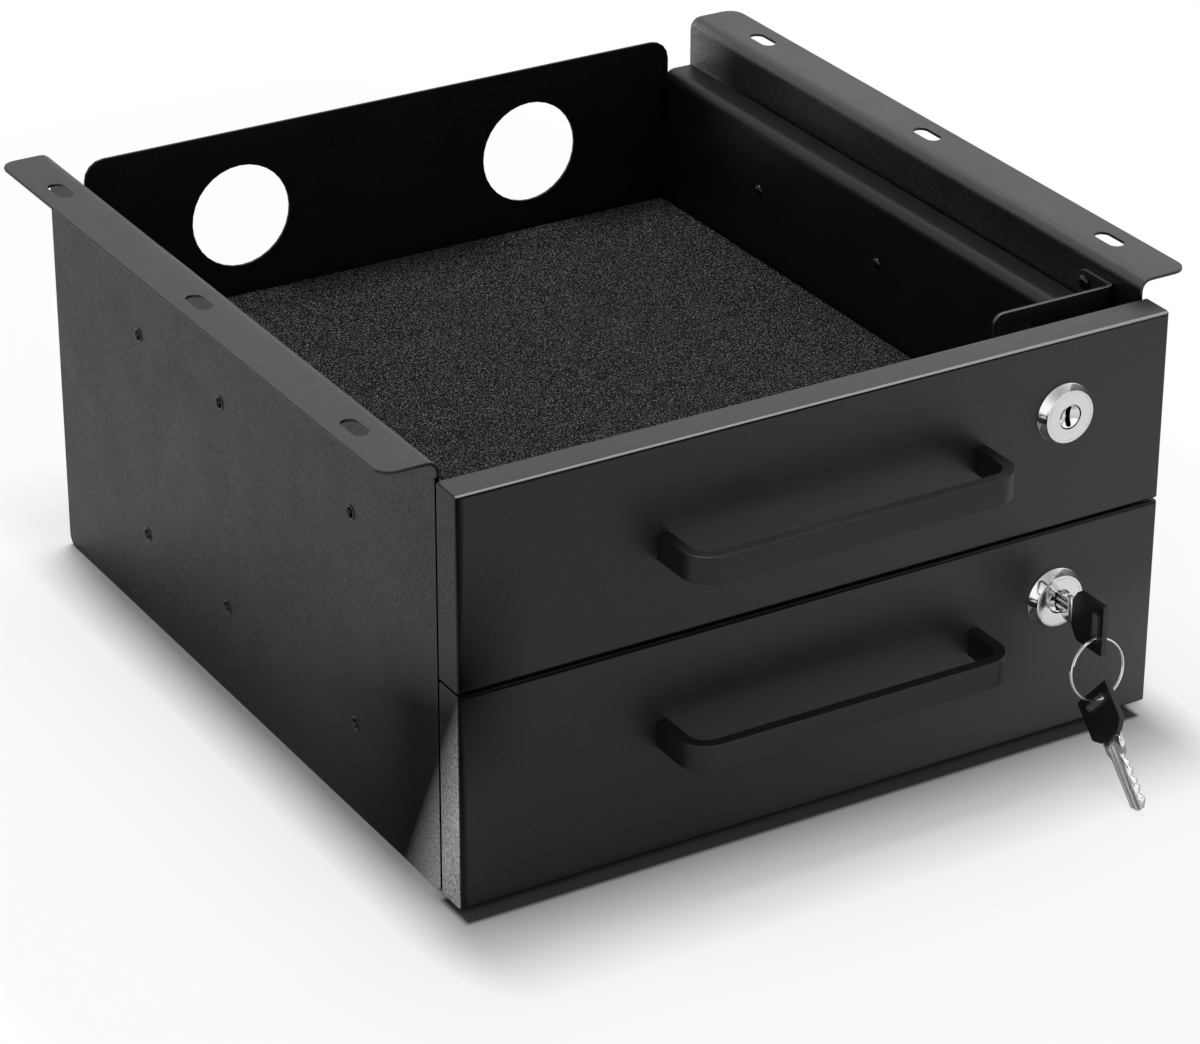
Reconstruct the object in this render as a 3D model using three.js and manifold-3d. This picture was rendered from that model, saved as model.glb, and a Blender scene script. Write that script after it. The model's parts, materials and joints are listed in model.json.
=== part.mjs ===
// A safe with two lockable drawers that hangs under a desk: a folded steel case
// with fixing flanges, drawers on ball slides, cam locks and a pair of keys.
// Millimetres. +X is right and -Y is the front as a user sees it, and +Z is up.
// The origin is the middle of the case's footprint, on its underside.

import * as THREE from 'three';
import { mergeVertices } from 'three/addons/utils/BufferGeometryUtils.js';
import Module from 'manifold-3d';

const wasm = await Module();
wasm.setup();

// Case
const caseWidth = 283;
const caseDepth = 300;
const sheet = 1.2;
const flangeWidth = 20;
const flangeBend = 3.9;
const webCorner = 4.5;
const flangeCorner = 6;
const slotLength = 14;
const slotWidth = 6;
const slotSpacing = 115;
const slotOutset = 11;
const baseFlangeHeight = 12;
const baseSetback = 1;
const baseBend = 1.8;

// Gap left between pieces that bear on each other, round pieces in their holes,
// and how far a cutter passes the faces that it cuts
const fit = 0.15;
const roundFit = 0.3;
const overrun = 2;

// Ball slides, measured from the side panel towards the drawer
const slideSpace = 12.7;
const slideSetback = 3;
const slideRearGap = 7;
const slideHeight = 35;
const slideWall = 1.2;
const slideBend = 1.4;
const ballGap = 1.9;
const webGap = 0.7;
const outerReach = 8.6;
const middleReach = 10.4;
const slideAboveMiddle = 2.05;

// Rivets that hold the slides to the side panels
const rivetsFromFront = [61, 160, 226.5];
const rivetHeadRadius = 2.8;
const rivetShankRadius = 1.5;
const rivetHeadDepth = 0.9;
const rivetBore = 1;
const rivetBoreDepth = 0.6;
const rivetTail = 0.3;

// Drawer boxes: how far the tray lies above its front's lower edge and below its upper one
const trayRises = { lower: 4.2, upper: 3.2 };
const trayDrops = { lower: 19.9, upper: 11.8 };
const trayBend = 2;
const trayFlangeBend = 4;
const trayFlangeGap = 1;
const rearClearance = 1.4;
const backRise = 12.7;
const backCorner = 8;
const backOverlap = 0.8;
const cableHoleRadius = 20.7;
const cableHoleSpacing = 127.6;
const matThickness = 1.8;
const matGap = 1;
const matCorner = 3;

// Drawer fronts
const frontHeights = { lower: 81.8, upper: 72.7 };
const frontOverhang = 1;
const frontDepth = 13.6;
const frontGap = 1.2;
const frontEdge = 1.5;
const frontCorner = 1;
const frontWallDrop = 10;
const frontBottom = 1.3;
const seamGap = 1;
const topGap = 6.8;

// Handles, bent from flat bar
const handleInset = 78.5;
const handleBar = 4.5;
const handleHeight = 10.2;
const handleReach = 24.2;
const handleBend = 8.7;
const handleDrops = { lower: 35.5, upper: 38 };
const handleScrewRadius = 1.5;
const handleScrewDepth = 8;
const handleScrewHeadRadius = 3.2;
const handleScrewHeadHeight = 1.9;
const screwHeadEdge = 0.5;

// Cam locks, measured back from the drawer front's face
const lockFromEdge = 44.25;
const lockDrops = { lower: 27, upper: 28.35 };
const bezelRadius = 11.3;
const bezelFaceRadius = 9.9;
const bezelHeight = 4;
const bezelEdge = 0.4;
const grooveRadius = 8.8;
const grooveWidth = 0.4;
const grooveDepth = 0.25;
const barrelRadius = 9;
const barrelLength = 30.4;
const plugRadius = 4.4;
const plugRecess = 0.3;
const plugDish = 0.5;
const nutAcrossFlats = 22;
const nutSides = 6;
const nutThickness = 4;
const keywayWidth = 2.3;
const keywayHeight = 7.9;
const keywayDepth = 20.5;
const camSquare = 5.6;
const camThickness = 2;
const camLength = 24;
const camWidth = 11;
const camHubRadius = 7.5;
const camScrewRadius = 1.3;
const camScrewLength = 5;
const camScrewHeadRadius = 4.2;
const camScrewHeadHeight = 1.6;

// Catch brackets that the cams turn behind
const camRoom = 0.4;
const catchWall = 1.5;
const catchFromEdge = 45.5;
const catchStrip = 10;
const catchStripAboveLock = 17.95;
const catchShortLeg = 21;
const catchTabWidth = 18;
const catchTabAboveLock = 10.95;
const catchBend = 2.6;
const catchCorner = 4;
const catchSlotLength = 13.3;
const catchSlotHeight = 9.4;
const catchSlotAboveLock = 18.75;
const catchScrewRadius = 1.9;
const catchScrewHeadRadius = 3;
const catchScrewHeadHeight = 1.4;

// Keys and their ring
const bowWidth = 19.4;
const bowLength = 15;
const bowThickness = 2.2;
const bowShoulder = 3.2;
const bowCollar = 10.4;
const bowCorner = 1.6;
const bowSlotLength = 11.4;
const bowSlotWidth = 3.2;
const bowSlotFromEnd = 4.5;
const tangLength = 8;
const tangHeight = 6;
const tangThickness = 1;
const bladeLength = 27.7;
const bladeHeight = 7.4;
const bladeThickness = 1.8;
const bladeHeadHeight = 9.8;
const bladeHeadLength = 4.4;
const bladeHeadTaper = 2.4;
const bladeTip = 2.4;
const bittingCuts = 5;
const bittingPitch = 3.4;
const bittingDepth = 1.5;
const bittingFlat = 1.1;
const bittingFromTip = 3.6;
const fullerWidth = 1.5;
const sideFullerWidth = 0.8;
const sideFullerOffset = 2.3;
const fullerDepth = 0.45;
const fullerSetback = 3;
const keyStandOff = 8.5;
const ringRadius = 11.2;
const ringWire = 0.7;
const ringSeat = 0.3;
const ringTilt = THREE.MathUtils.degToRad(11.5);
const ringSwing = THREE.MathUtils.degToRad(3.8);
const keyLean = THREE.MathUtils.degToRad(7.3);
const wireOffset = 1.43;
const tipLift = 0.5;

// How much of half a slot's width its end radius takes, so that a short flat is left
const slotRoundShare = 0.98;

// Counts of straight steps in round stretches
const bendSteps = 4;
const slotSteps = 6;
const holeSteps = 12;
const cableHoleSteps = 32;
const turnedSteps = 28;
const smallTurnedSteps = 12;
const ringSteps = 36;
const ringSectionSteps = 8;

// Places that follow from the sizes above
const panelInner = caseWidth / 2 - sheet;
const caseFront = -caseDepth / 2;
const caseBack = caseDepth / 2;
const caseHeight = frontBottom + frontHeights.lower + seamGap + frontHeights.upper + topGap;
const frontWidth = caseWidth + 2 * frontOverhang;
const frontBack = caseFront - frontGap;
const frontFace = frontBack - frontDepth;
const trayHalf = panelInner - slideSpace;
const trayFront = frontBack + fit;
const backFace = caseBack - rearClearance - sheet;
const trayBack = backFace - fit;
const handleSpacing = frontWidth - 2 * handleInset;
const lockX = frontWidth / 2 - lockFromEdge;
const slideFront = caseFront + slideSetback;
const slideBack = caseBack - slideRearGap;
const rivetPlaces = rivetsFromFront.map((distance) => caseFront + distance);
const camFront = barrelLength + 2 * fit;
const camBack = camFront + camThickness;
const catchX = frontWidth / 2 - catchFromEdge;
const catchFace = frontFace + camFront - camRoom - catchWall;
const catchEnd = catchFace + catchShortLeg;
const catchScrewY = catchEnd - catchStrip / 2;

// Heights of each drawer's pieces, from its front's lower edge up
function drawerPlaces(name, bottom) {
  const top = bottom + frontHeights[name];
  const trayBottom = bottom + trayRises[name];
  const trayTop = top - trayDrops[name];
  const lock = top - lockDrops[name];
  return {
    name,
    bottom,
    top,
    trayBottom,
    trayTop,
    lock,
    slide: (trayBottom + trayTop) / 2 + slideAboveMiddle,
    handle: top - handleDrops[name],
    strip: lock + catchStripAboveLock,
  };
}

const drawers = [
  drawerPlaces('lower', frontBottom),
  drawerPlaces('upper', frontBottom + frontHeights.lower + seamGap),
];

// Finishes
function finish(color, roughness, metalness) {
  return new THREE.MeshStandardMaterial({ color, roughness, metalness });
}

const blackPaint = finish('#2b2b2d', 0.55, 0.2);
const zincSteel = finish('#b9bcc0', 0.35, 0.9);
const blackSteel = finish('#1c1c1d', 0.4, 0.6);
const chrome = finish('#d8dadd', 0.12, 1);
const nickel = finish('#cfcfcb', 0.2, 1);
const felt = finish('#2a2a2c', 0.95, 0);
const blackPlastic = finish('#161617', 0.45, 0);

// Outlines: lists of [across, up] points, and corners as [across, up, radius]

function heading(from, to) {
  const across = to[0] - from[0];
  const up = to[1] - from[1];
  const length = Math.hypot(across, up);
  return [across / length, up / length];
}

// The samples of one corner's arc, each a point with the normal on its left
function cornerSamples(before, corner, after, steps) {
  const [across, up, radius = 0] = corner;
  const entry = heading(before, corner);
  const exit = heading(corner, after);
  const turn = Math.atan2(entry[0] * exit[1] - entry[1] * exit[0], entry[0] * exit[0] + entry[1] * exit[1]);
  if (radius === 0) {
    return [{ point: [across, up], normal: [-entry[1], entry[0]] }];
  }
  const side = Math.sign(turn);
  const reach = radius * Math.tan(Math.abs(turn) / 2);
  const centre = [
    across - entry[0] * reach - side * entry[1] * radius,
    up - entry[1] * reach + side * entry[0] * radius,
  ];
  const samples = [];
  for (let step = 0; step <= steps; step += 1) {
    const angle = (turn * step) / steps;
    const along = [
      entry[0] * Math.cos(angle) - entry[1] * Math.sin(angle),
      entry[0] * Math.sin(angle) + entry[1] * Math.cos(angle),
    ];
    samples.push({
      point: [centre[0] + side * radius * along[1], centre[1] - side * radius * along[0]],
      normal: [-along[1], along[0]],
    });
  }
  return samples;
}

function roundedPoints(corners, steps = bendSteps) {
  const count = corners.length;
  return corners.flatMap((corner, index) => {
    const before = corners[(index + count - 1) % count];
    const after = corners[(index + 1) % count];
    return cornerSamples(before, corner, after, steps).map((sample) => sample.point);
  });
}

// A strip of even thickness along an open path down its middle, such as bent sheet or bar
function stripPoints(path, thickness, steps = bendSteps) {
  const samples = [];
  path.forEach((corner, index) => {
    const before = path[index - 1];
    const after = path[index + 1];
    if (before && after) {
      samples.push(...cornerSamples(before, corner, after, steps));
      return;
    }
    const along = before ? heading(before, corner) : heading(corner, after);
    samples.push({ point: [corner[0], corner[1]], normal: [-along[1], along[0]] });
  });
  const offset = (side) => samples.map(({ point, normal }) => [
    point[0] + (side * normal[0] * thickness) / 2,
    point[1] + (side * normal[1] * thickness) / 2,
  ]);
  return [...offset(-1), ...offset(1).reverse()];
}

function rectangle(left, right, bottom, top, radius = 0) {
  return [[left, bottom, radius], [right, bottom, radius], [right, top, radius], [left, top, radius]];
}

function circlePoints(centre, radius, steps) {
  const points = [];
  for (let step = 0; step < steps; step += 1) {
    const angle = (2 * Math.PI * step) / steps;
    points.push([centre[0] + radius * Math.cos(angle), centre[1] + radius * Math.sin(angle)]);
  }
  return points;
}

function slotPoints(centre, length, width, steps = slotSteps) {
  const across = length / 2;
  const up = width / 2;
  const radius = up * slotRoundShare;
  const corners = rectangle(centre[0] - across, centre[0] + across, centre[1] - up, centre[1] + up, radius);
  return roundedPoints(corners, steps);
}

function shapeOf(points, holes = []) {
  const vectors = (list) => list.map(([across, up]) => new THREE.Vector2(across, up));
  const shape = new THREE.Shape(vectors(points));
  shape.holes = holes.map((hole) => new THREE.Path(vectors(hole)));
  return shape;
}

// Solids

function solidOf(geometry) {
  const bare = geometry.clone();
  bare.deleteAttribute('normal');
  bare.deleteAttribute('uv');
  const merged = mergeVertices(bare);
  const index = merged.index.array;
  const triangles = [];
  for (let start = 0; start < index.length; start += 3) {
    const [a, b, c] = index.slice(start, start + 3);
    if (a !== b && b !== c && c !== a) {
      triangles.push(a, b, c);
    }
  }
  return new wasm.Manifold(new wasm.Mesh({
    numProp: 3,
    vertProperties: merged.attributes.position.array,
    triVerts: Uint32Array.from(triangles),
  }));
}

// Which way an outline faces: its across and up directions, then the way it is extruded
const facings = {
  x: [new THREE.Vector3(0, 1, 0), new THREE.Vector3(0, 0, 1), new THREE.Vector3(1, 0, 0)],
  y: [new THREE.Vector3(1, 0, 0), new THREE.Vector3(0, 0, 1), new THREE.Vector3(0, -1, 0)],
  z: [new THREE.Vector3(1, 0, 0), new THREE.Vector3(0, 1, 0), new THREE.Vector3(0, 0, 1)],
};

function extruded(shape, axis, from, to) {
  const geometry = new THREE.ExtrudeGeometry(shape, { depth: to - from, bevelEnabled: false });
  geometry.applyMatrix4(new THREE.Matrix4().makeBasis(...facings[axis]));
  const start = axis === 'y' ? to : from;
  geometry.translate(axis === 'x' ? start : 0, axis === 'y' ? start : 0, axis === 'z' ? start : 0);
  return solidOf(geometry);
}

function plate(points, axis, from, to, holes = []) {
  return extruded(shapeOf(points, holes), axis, from, to);
}

// The turn that lays a turned solid's height along an axis
const layings = {
  x: (geometry) => geometry.rotateZ(-Math.PI / 2),
  '-x': (geometry) => geometry.rotateZ(Math.PI / 2),
  y: (geometry) => geometry,
  '-y': (geometry) => geometry.rotateX(Math.PI),
};

// A turned solid whose profile is [radius, height] points
function turned(profile, axis, steps = turnedSteps, origin = [0, 0, 0]) {
  const vectors = profile.map(([radius, height]) => new THREE.Vector2(radius, height));
  const geometry = layings[axis](new THREE.LatheGeometry(vectors, steps));
  geometry.translate(...origin);
  return solidOf(geometry);
}

function rod(radius, from, to, axis, origin = [0, 0, 0], steps = holeSteps) {
  return turned([[0, from], [radius, from], [radius, to], [0, to]], axis, steps, origin);
}

function meshOf(name, solid, material) {
  const { vertProperties, triVerts } = solid.getMesh();
  const geometry = new THREE.BufferGeometry();
  geometry.setAttribute('position', new THREE.BufferAttribute(vertProperties, 3));
  geometry.setIndex(new THREE.BufferAttribute(triVerts, 1));
  geometry.computeVertexNormals();
  const mesh = new THREE.Mesh(geometry, material);
  mesh.name = name;
  return mesh;
}

function groupAt(x, y, z) {
  const group = new THREE.Group();
  group.position.set(x, y, z);
  return group;
}

// A screw that points up its axis, with its head's underside one fit below zero
function screwProfile(shankRadius, headRadius, headHeight, length) {
  return [
    [0, -fit - headHeight],
    [headRadius - screwHeadEdge, -fit - headHeight],
    [headRadius, -fit - headHeight + screwHeadEdge],
    [headRadius, -fit],
    [shankRadius, -fit],
    [shankRadius, length],
    [0, length],
  ];
}

// Case

// A flush rivet with room round it, from the panel's outer face inwards
function rivetProfile(room, length) {
  return [
    [0, -room],
    [rivetHeadRadius + room, -room],
    [rivetHeadRadius + room, 0],
    [rivetShankRadius + room, rivetHeadDepth],
    [rivetShankRadius + room, length],
    [0, length],
  ];
}

// Side is -1 for the left panel and 1 for the right one
function sidePanel(name, side) {
  const web = side * (caseWidth / 2 - sheet / 2);
  const outer = caseWidth / 2 + flangeWidth;
  const path = [
    [web, 0],
    [web, caseHeight - sheet / 2, flangeBend],
    [side * outer, caseHeight - sheet / 2],
  ];
  let panel = plate(stripPoints(path, sheet), 'y', caseFront, caseBack);

  const sideView = roundedPoints([
    [caseFront, 0, webCorner],
    [caseBack, 0, webCorner],
    [caseBack, caseHeight],
    [caseFront, caseHeight],
  ]);
  panel = panel.intersect(plate(sideView, 'x', -outer - overrun, outer + overrun));
  const topView = roundedPoints([
    [0, caseFront],
    [side * outer, caseFront, flangeCorner],
    [side * outer, caseBack, flangeCorner],
    [0, caseBack],
  ]);
  panel = panel.intersect(plate(topView, 'z', -overrun, caseHeight + overrun));

  const slotX = side * (caseWidth / 2 + slotOutset);
  for (const row of [-1, 0, 1]) {
    const turnedSlot = slotPoints([row * slotSpacing, slotX], slotLength, slotWidth);
    const slot = turnedSlot.map(([along, across]) => [across, along]);
    panel = panel.subtract(plate(slot, 'z', caseHeight - sheet - overrun, caseHeight + overrun));
  }
  const inwards = side < 0 ? 'x' : '-x';
  for (const drawer of drawers) {
    for (const y of rivetPlaces) {
      const origin = [(side * caseWidth) / 2, y, drawer.slide];
      const hole = turned(rivetProfile(fit, sheet + overrun), inwards, smallTurnedSteps, origin);
      panel = panel.subtract(hole);
    }
    if (side > 0) {
      const origin = [panelInner, catchScrewY, drawer.strip + catchStrip / 2];
      panel = panel.subtract(rod(catchScrewRadius + fit, -overrun, sheet + overrun, 'x', origin));
    }
  }
  return meshOf(name, panel, blackPaint);
}

// The sheet under both drawers that ties the side panels together
function bottomPanel() {
  const half = panelInner - fit - sheet / 2;
  const path = [
    [-half, baseFlangeHeight],
    [-half, sheet / 2, baseBend],
    [half, sheet / 2, baseBend],
    [half, baseFlangeHeight],
  ];
  const tray = plate(stripPoints(path, sheet), 'y', caseFront + baseSetback, caseBack - baseSetback);
  return meshOf('bottom_panel', tray, blackPaint);
}

// Slides, drawn with x from the side panel towards the drawer and z from their own middle

function channel(webAt, edgeAt, halfHeight) {
  const path = [
    [edgeAt, halfHeight - slideWall / 2],
    [webAt, halfHeight - slideWall / 2, slideBend],
    [webAt, slideWall / 2 - halfHeight, slideBend],
    [edgeAt, slideWall / 2 - halfHeight],
  ];
  return plate(stripPoints(path, slideWall), 'y', slideFront, slideBack);
}

function slideOuter(name) {
  let member = channel(fit + slideWall / 2, outerReach, slideHeight / 2);
  for (const y of rivetPlaces) {
    member = member.subtract(rod(rivetShankRadius + fit, 0, fit + slideWall + fit, 'x', [0, y, 0]));
  }
  return meshOf(name, member, zincSteel);
}

function slideMiddle(name) {
  const webAt = fit + slideWall + webGap + slideWall / 2;
  const member = channel(webAt, middleReach, slideHeight / 2 - slideWall - ballGap);
  return meshOf(name, member, zincSteel);
}

function slideInner(name) {
  const edgeAt = fit + slideWall + webGap + slideWall + webGap;
  const halfHeight = slideHeight / 2 - 2 * (slideWall + ballGap);
  const member = channel(slideSpace - fit - slideWall / 2, edgeAt, halfHeight);
  return meshOf(name, member, zincSteel);
}

function slideRivet(name, y) {
  const length = sheet + fit + slideWall + rivetTail;
  const profile = [
    [0, rivetBoreDepth],
    [rivetBore, rivetBoreDepth],
    [rivetBore, 0],
    [rivetHeadRadius, 0],
    [rivetShankRadius, rivetHeadDepth],
    [rivetShankRadius, length],
    [0, length],
  ];
  return meshOf(name, turned(profile, 'x', smallTurnedSteps, [-sheet, y, 0]), blackSteel);
}

function slideSet(drawer, sideName, side) {
  const group = groupAt(side * panelInner, 0, drawer.slide);
  group.rotation.y = side < 0 ? 0 : Math.PI;
  const name = `${drawer.name}_${sideName}`;
  group.add(slideOuter(`${name}_slide_outer`));
  group.add(slideMiddle(`${name}_slide_middle`));
  group.add(slideInner(`${name}_slide_inner`));
  rivetPlaces.forEach((y, index) => {
    group.add(slideRivet(`${name}_slide_rivet_${index + 1}`, y));
  });
  return group;
}

// Catch brackets on the right panel, one for each lock

function catchBracket(drawer) {
  const legY = catchFace + catchWall / 2;
  const legX = panelInner - fit - catchWall / 2;
  const freeEnd = catchX - catchTabWidth / 2;
  const tabBottom = drawer.lock + catchTabAboveLock;
  const stripTop = drawer.strip + catchStrip;
  const plan = stripPoints([[freeEnd, legY], [legX, legY, catchBend], [legX, catchEnd]], catchWall);
  let bracket = plate(plan, 'z', tabBottom, stripTop);

  const frontView = roundedPoints([
    [freeEnd, tabBottom, catchCorner],
    [freeEnd + catchTabWidth, tabBottom, catchCorner],
    [freeEnd + catchTabWidth, drawer.strip],
    [panelInner, drawer.strip],
    [panelInner, stripTop],
    [freeEnd, stripTop, catchCorner],
  ]);
  const slot = slotPoints([catchX, drawer.lock + catchSlotAboveLock], catchSlotLength, catchSlotHeight);
  bracket = bracket.intersect(plate(frontView, 'y', catchFace - overrun, catchEnd + overrun));
  bracket = bracket.subtract(plate(slot, 'y', catchFace - overrun, catchFace + catchWall + overrun));

  const endRadius = (catchStrip / 2) * slotRoundShare;
  const sideView = roundedPoints([
    [catchFace - overrun, tabBottom - overrun],
    [catchFace + catchWall + overrun, tabBottom - overrun],
    [catchFace + catchWall + overrun, drawer.strip],
    [catchEnd, drawer.strip, endRadius],
    [catchEnd, stripTop, endRadius],
    [catchFace - overrun, stripTop],
  ]);
  bracket = bracket.intersect(plate(sideView, 'x', freeEnd - overrun, panelInner + overrun));
  const origin = [legX, catchScrewY, drawer.strip + catchStrip / 2];
  bracket = bracket.subtract(rod(catchScrewRadius + fit, -catchWall, catchWall, 'x', origin));
  return meshOf(`${drawer.name}_catch_bracket`, bracket, blackPaint);
}

function catchScrew(drawer) {
  const length = catchWall + fit + sheet;
  const profile = screwProfile(catchScrewRadius, catchScrewHeadRadius, catchScrewHeadHeight, length);
  const origin = [panelInner - fit - catchWall, catchScrewY, drawer.strip + catchStrip / 2];
  return meshOf(`${drawer.name}_catch_screw`, turned(profile, 'x', smallTurnedSteps, origin), blackSteel);
}

// Drawers

function lockHole(drawer) {
  const origin = [lockX, 0, drawer.lock];
  const end = trayFront + sheet + overrun;
  return rod(barrelRadius + roundFit, frontFace - overrun, end, 'y', origin, turnedSteps);
}

function handleScrewHoles(drawer, room) {
  const start = frontFace - handleScrewDepth - roundFit;
  const end = trayFront + sheet + overrun;
  return [-1, 1].map((side) => {
    const origin = [(side * handleSpacing) / 2, 0, drawer.handle];
    return rod(handleScrewRadius + room, start, end, 'y', origin);
  });
}

// Floor, side walls with flanges turned out, and the front wall, folded from one sheet
function tray(drawer) {
  const wall = trayHalf - sheet / 2;
  const flangeZ = drawer.trayTop - sheet / 2;
  const floorZ = drawer.trayBottom + sheet / 2;
  const edge = panelInner - trayFlangeGap;
  const path = [
    [-edge, flangeZ],
    [-wall, flangeZ, trayFlangeBend],
    [-wall, floorZ, trayBend],
    [wall, floorZ, trayBend],
    [wall, flangeZ, trayFlangeBend],
    [edge, flangeZ],
  ];
  let solid = plate(stripPoints(path, sheet), 'y', trayFront, trayBack);
  const frontWall = roundedPoints([
    [-wall, floorZ, trayBend],
    [wall, floorZ, trayBend],
    [wall, drawer.top - frontWallDrop],
    [-wall, drawer.top - frontWallDrop],
  ]);
  solid = solid.add(plate(frontWall, 'y', trayFront, trayFront + sheet));
  solid = solid.subtract(lockHole(drawer));
  for (const hole of handleScrewHoles(drawer, roundFit)) {
    solid = solid.subtract(hole);
  }
  return meshOf(`${drawer.name}_tray`, solid, blackPaint);
}

function backWall(drawer) {
  const half = trayHalf + backOverlap;
  const top = drawer.trayTop + backRise;
  const outline = roundedPoints([
    [-half, drawer.trayBottom],
    [half, drawer.trayBottom],
    [half, top, backCorner],
    [-half, top, backCorner],
  ]);
  const holes = [-1, 1].map((side) => {
    const centre = [(side * cableHoleSpacing) / 2, (drawer.trayBottom + top) / 2];
    return circlePoints(centre, cableHoleRadius, cableHoleSteps);
  });
  const wall = plate(outline, 'y', backFace, backFace + sheet, holes);
  return meshOf(`${drawer.name}_back_wall`, wall, blackPaint);
}

function mat(drawer) {
  const half = trayHalf - sheet - matGap;
  const front = trayFront + sheet + matGap;
  const outline = roundedPoints(rectangle(-half, half, front, trayBack - matGap, matCorner));
  const floor = drawer.trayBottom + sheet + fit;
  return meshOf(`${drawer.name}_mat`, plate(outline, 'z', floor, floor + matThickness), felt);
}

// A shallow pan, open at the back, with eased edges round its face
function frontPanel(drawer) {
  const half = frontWidth / 2;
  const inset = rectangle(
    frontEdge - half,
    half - frontEdge,
    drawer.bottom + frontEdge,
    drawer.top - frontEdge,
  );
  const geometry = new THREE.ExtrudeGeometry(shapeOf(roundedPoints(inset)), {
    depth: frontDepth,
    bevelThickness: frontEdge,
    bevelSize: frontEdge,
    bevelSegments: bendSteps - 1,
  });
  geometry.applyMatrix4(new THREE.Matrix4().makeBasis(...facings.y));
  geometry.translate(0, frontBack + frontEdge, 0);
  const keep = rectangle(-frontWidth, frontWidth, drawer.bottom - overrun, drawer.top + overrun);
  let pan = solidOf(geometry).intersect(plate(keep, 'y', frontFace - overrun, frontBack));

  const hollow = rectangle(
    sheet - half,
    half - sheet,
    drawer.bottom + sheet,
    drawer.top - sheet,
    frontCorner,
  );
  pan = pan.subtract(plate(roundedPoints(hollow), 'y', frontFace + sheet, frontBack + overrun));
  pan = pan.subtract(lockHole(drawer));
  for (const hole of handleScrewHoles(drawer, roundFit)) {
    pan = pan.subtract(hole);
  }
  return meshOf(`${drawer.name}_front`, pan, blackPaint);
}

function handle(drawer) {
  const half = handleSpacing / 2;
  const barY = frontFace - handleReach + handleBar / 2;
  const seat = frontFace - fit;
  const path = [[-half, seat], [-half, barY, handleBend], [half, barY, handleBend], [half, seat]];
  const outline = stripPoints(path, handleBar, slotSteps);
  let bar = plate(outline, 'z', drawer.handle - handleHeight / 2, drawer.handle + handleHeight / 2);
  for (const hole of handleScrewHoles(drawer, fit)) {
    bar = bar.subtract(hole);
  }
  return meshOf(`${drawer.name}_handle`, bar, blackPaint);
}

function handleScrew(drawer, name, side) {
  const seat = trayFront + sheet;
  const length = seat - frontFace + handleScrewDepth;
  const profile = screwProfile(handleScrewRadius, handleScrewHeadRadius, handleScrewHeadHeight, length);
  const origin = [(side * handleSpacing) / 2, seat, drawer.handle];
  return meshOf(name, turned(profile, '-y', holeSteps, origin), zincSteel);
}

// Locks, drawn with y back from the drawer front's face and the plug's axis at x = z = 0

function lockBody(name) {
  const bore = plugRadius + roundFit;
  const face = -bezelHeight;
  const profile = [
    [bore, face],
    [grooveRadius - grooveWidth / 2, face],
    [grooveRadius - grooveWidth / 2, face + grooveDepth],
    [grooveRadius + grooveWidth / 2, face + grooveDepth],
    [grooveRadius + grooveWidth / 2, face],
    [bezelFaceRadius - bezelEdge, face],
    [bezelFaceRadius, face + bezelEdge],
    [bezelRadius, -fit],
    [barrelRadius, -fit],
    [barrelRadius, barrelLength],
    [bore, barrelLength],
    [bore, face],
  ];
  return meshOf(name, turned(profile, 'y'), chrome);
}

function lockNut(name) {
  const corner = nutAcrossFlats / 2 / Math.cos(Math.PI / nutSides);
  const bore = circlePoints([0, 0], barrelRadius + fit, turnedSteps);
  const seat = trayFront + sheet - frontFace + fit;
  const hexagon = circlePoints([0, 0], corner, nutSides);
  return meshOf(name, plate(hexagon, 'y', seat, seat + nutThickness, [bore]), zincSteel);
}

function lockPlug(name) {
  const face = plugRecess - bezelHeight;
  const shoulder = barrelLength + fit;
  const profile = [
    [0, face + plugDish],
    [plugRadius, face],
    [plugRadius, shoulder],
    [0, shoulder],
  ];
  const half = camSquare / 2;
  const tailEnd = camBack - fit;
  let plug = turned(profile, 'y');
  plug = plug.add(plate(rectangle(-half, half, -half, half), 'y', shoulder - fit, tailEnd));
  const keyway = rectangle(-keywayWidth / 2, keywayWidth / 2, -keywayHeight / 2, keywayHeight / 2);
  plug = plug.subtract(plate(keyway, 'y', face - overrun, keywayDepth));
  const holeEnd = tailEnd - camScrewLength - roundFit;
  plug = plug.subtract(rod(camScrewRadius + fit, holeEnd, tailEnd + overrun, 'y'));
  return meshOf(name, plug, chrome);
}

// At rest the cam's arm lies to the left, clear of its catch
function lockCam(name) {
  const arm = rectangle(-camLength, 0, -camWidth / 2, camWidth / 2);
  arm[0].push(camWidth / 2 * slotRoundShare);
  arm[3].push(camWidth / 2 * slotRoundShare);
  const half = camSquare / 2 + fit;
  let cam = plate(circlePoints([0, 0], camHubRadius, turnedSteps), 'y', camFront, camBack);
  cam = cam.add(plate(roundedPoints(arm), 'y', camFront, camBack));
  cam = cam.subtract(plate(rectangle(-half, half, -half, half), 'y', camFront - overrun, camBack + overrun));
  return meshOf(name, cam, zincSteel);
}

function camScrew(name) {
  const profile = screwProfile(camScrewRadius, camScrewHeadRadius, camScrewHeadHeight, camScrewLength);
  return meshOf(name, turned(profile, '-y', holeSteps, [0, camBack, 0]), zincSteel);
}

// Keys, drawn with y from the bow's end to the blade's tip and flat across x

const bowTotal = bowLength + bowShoulder;
const keyTotal = bowTotal + bladeLength;

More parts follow.
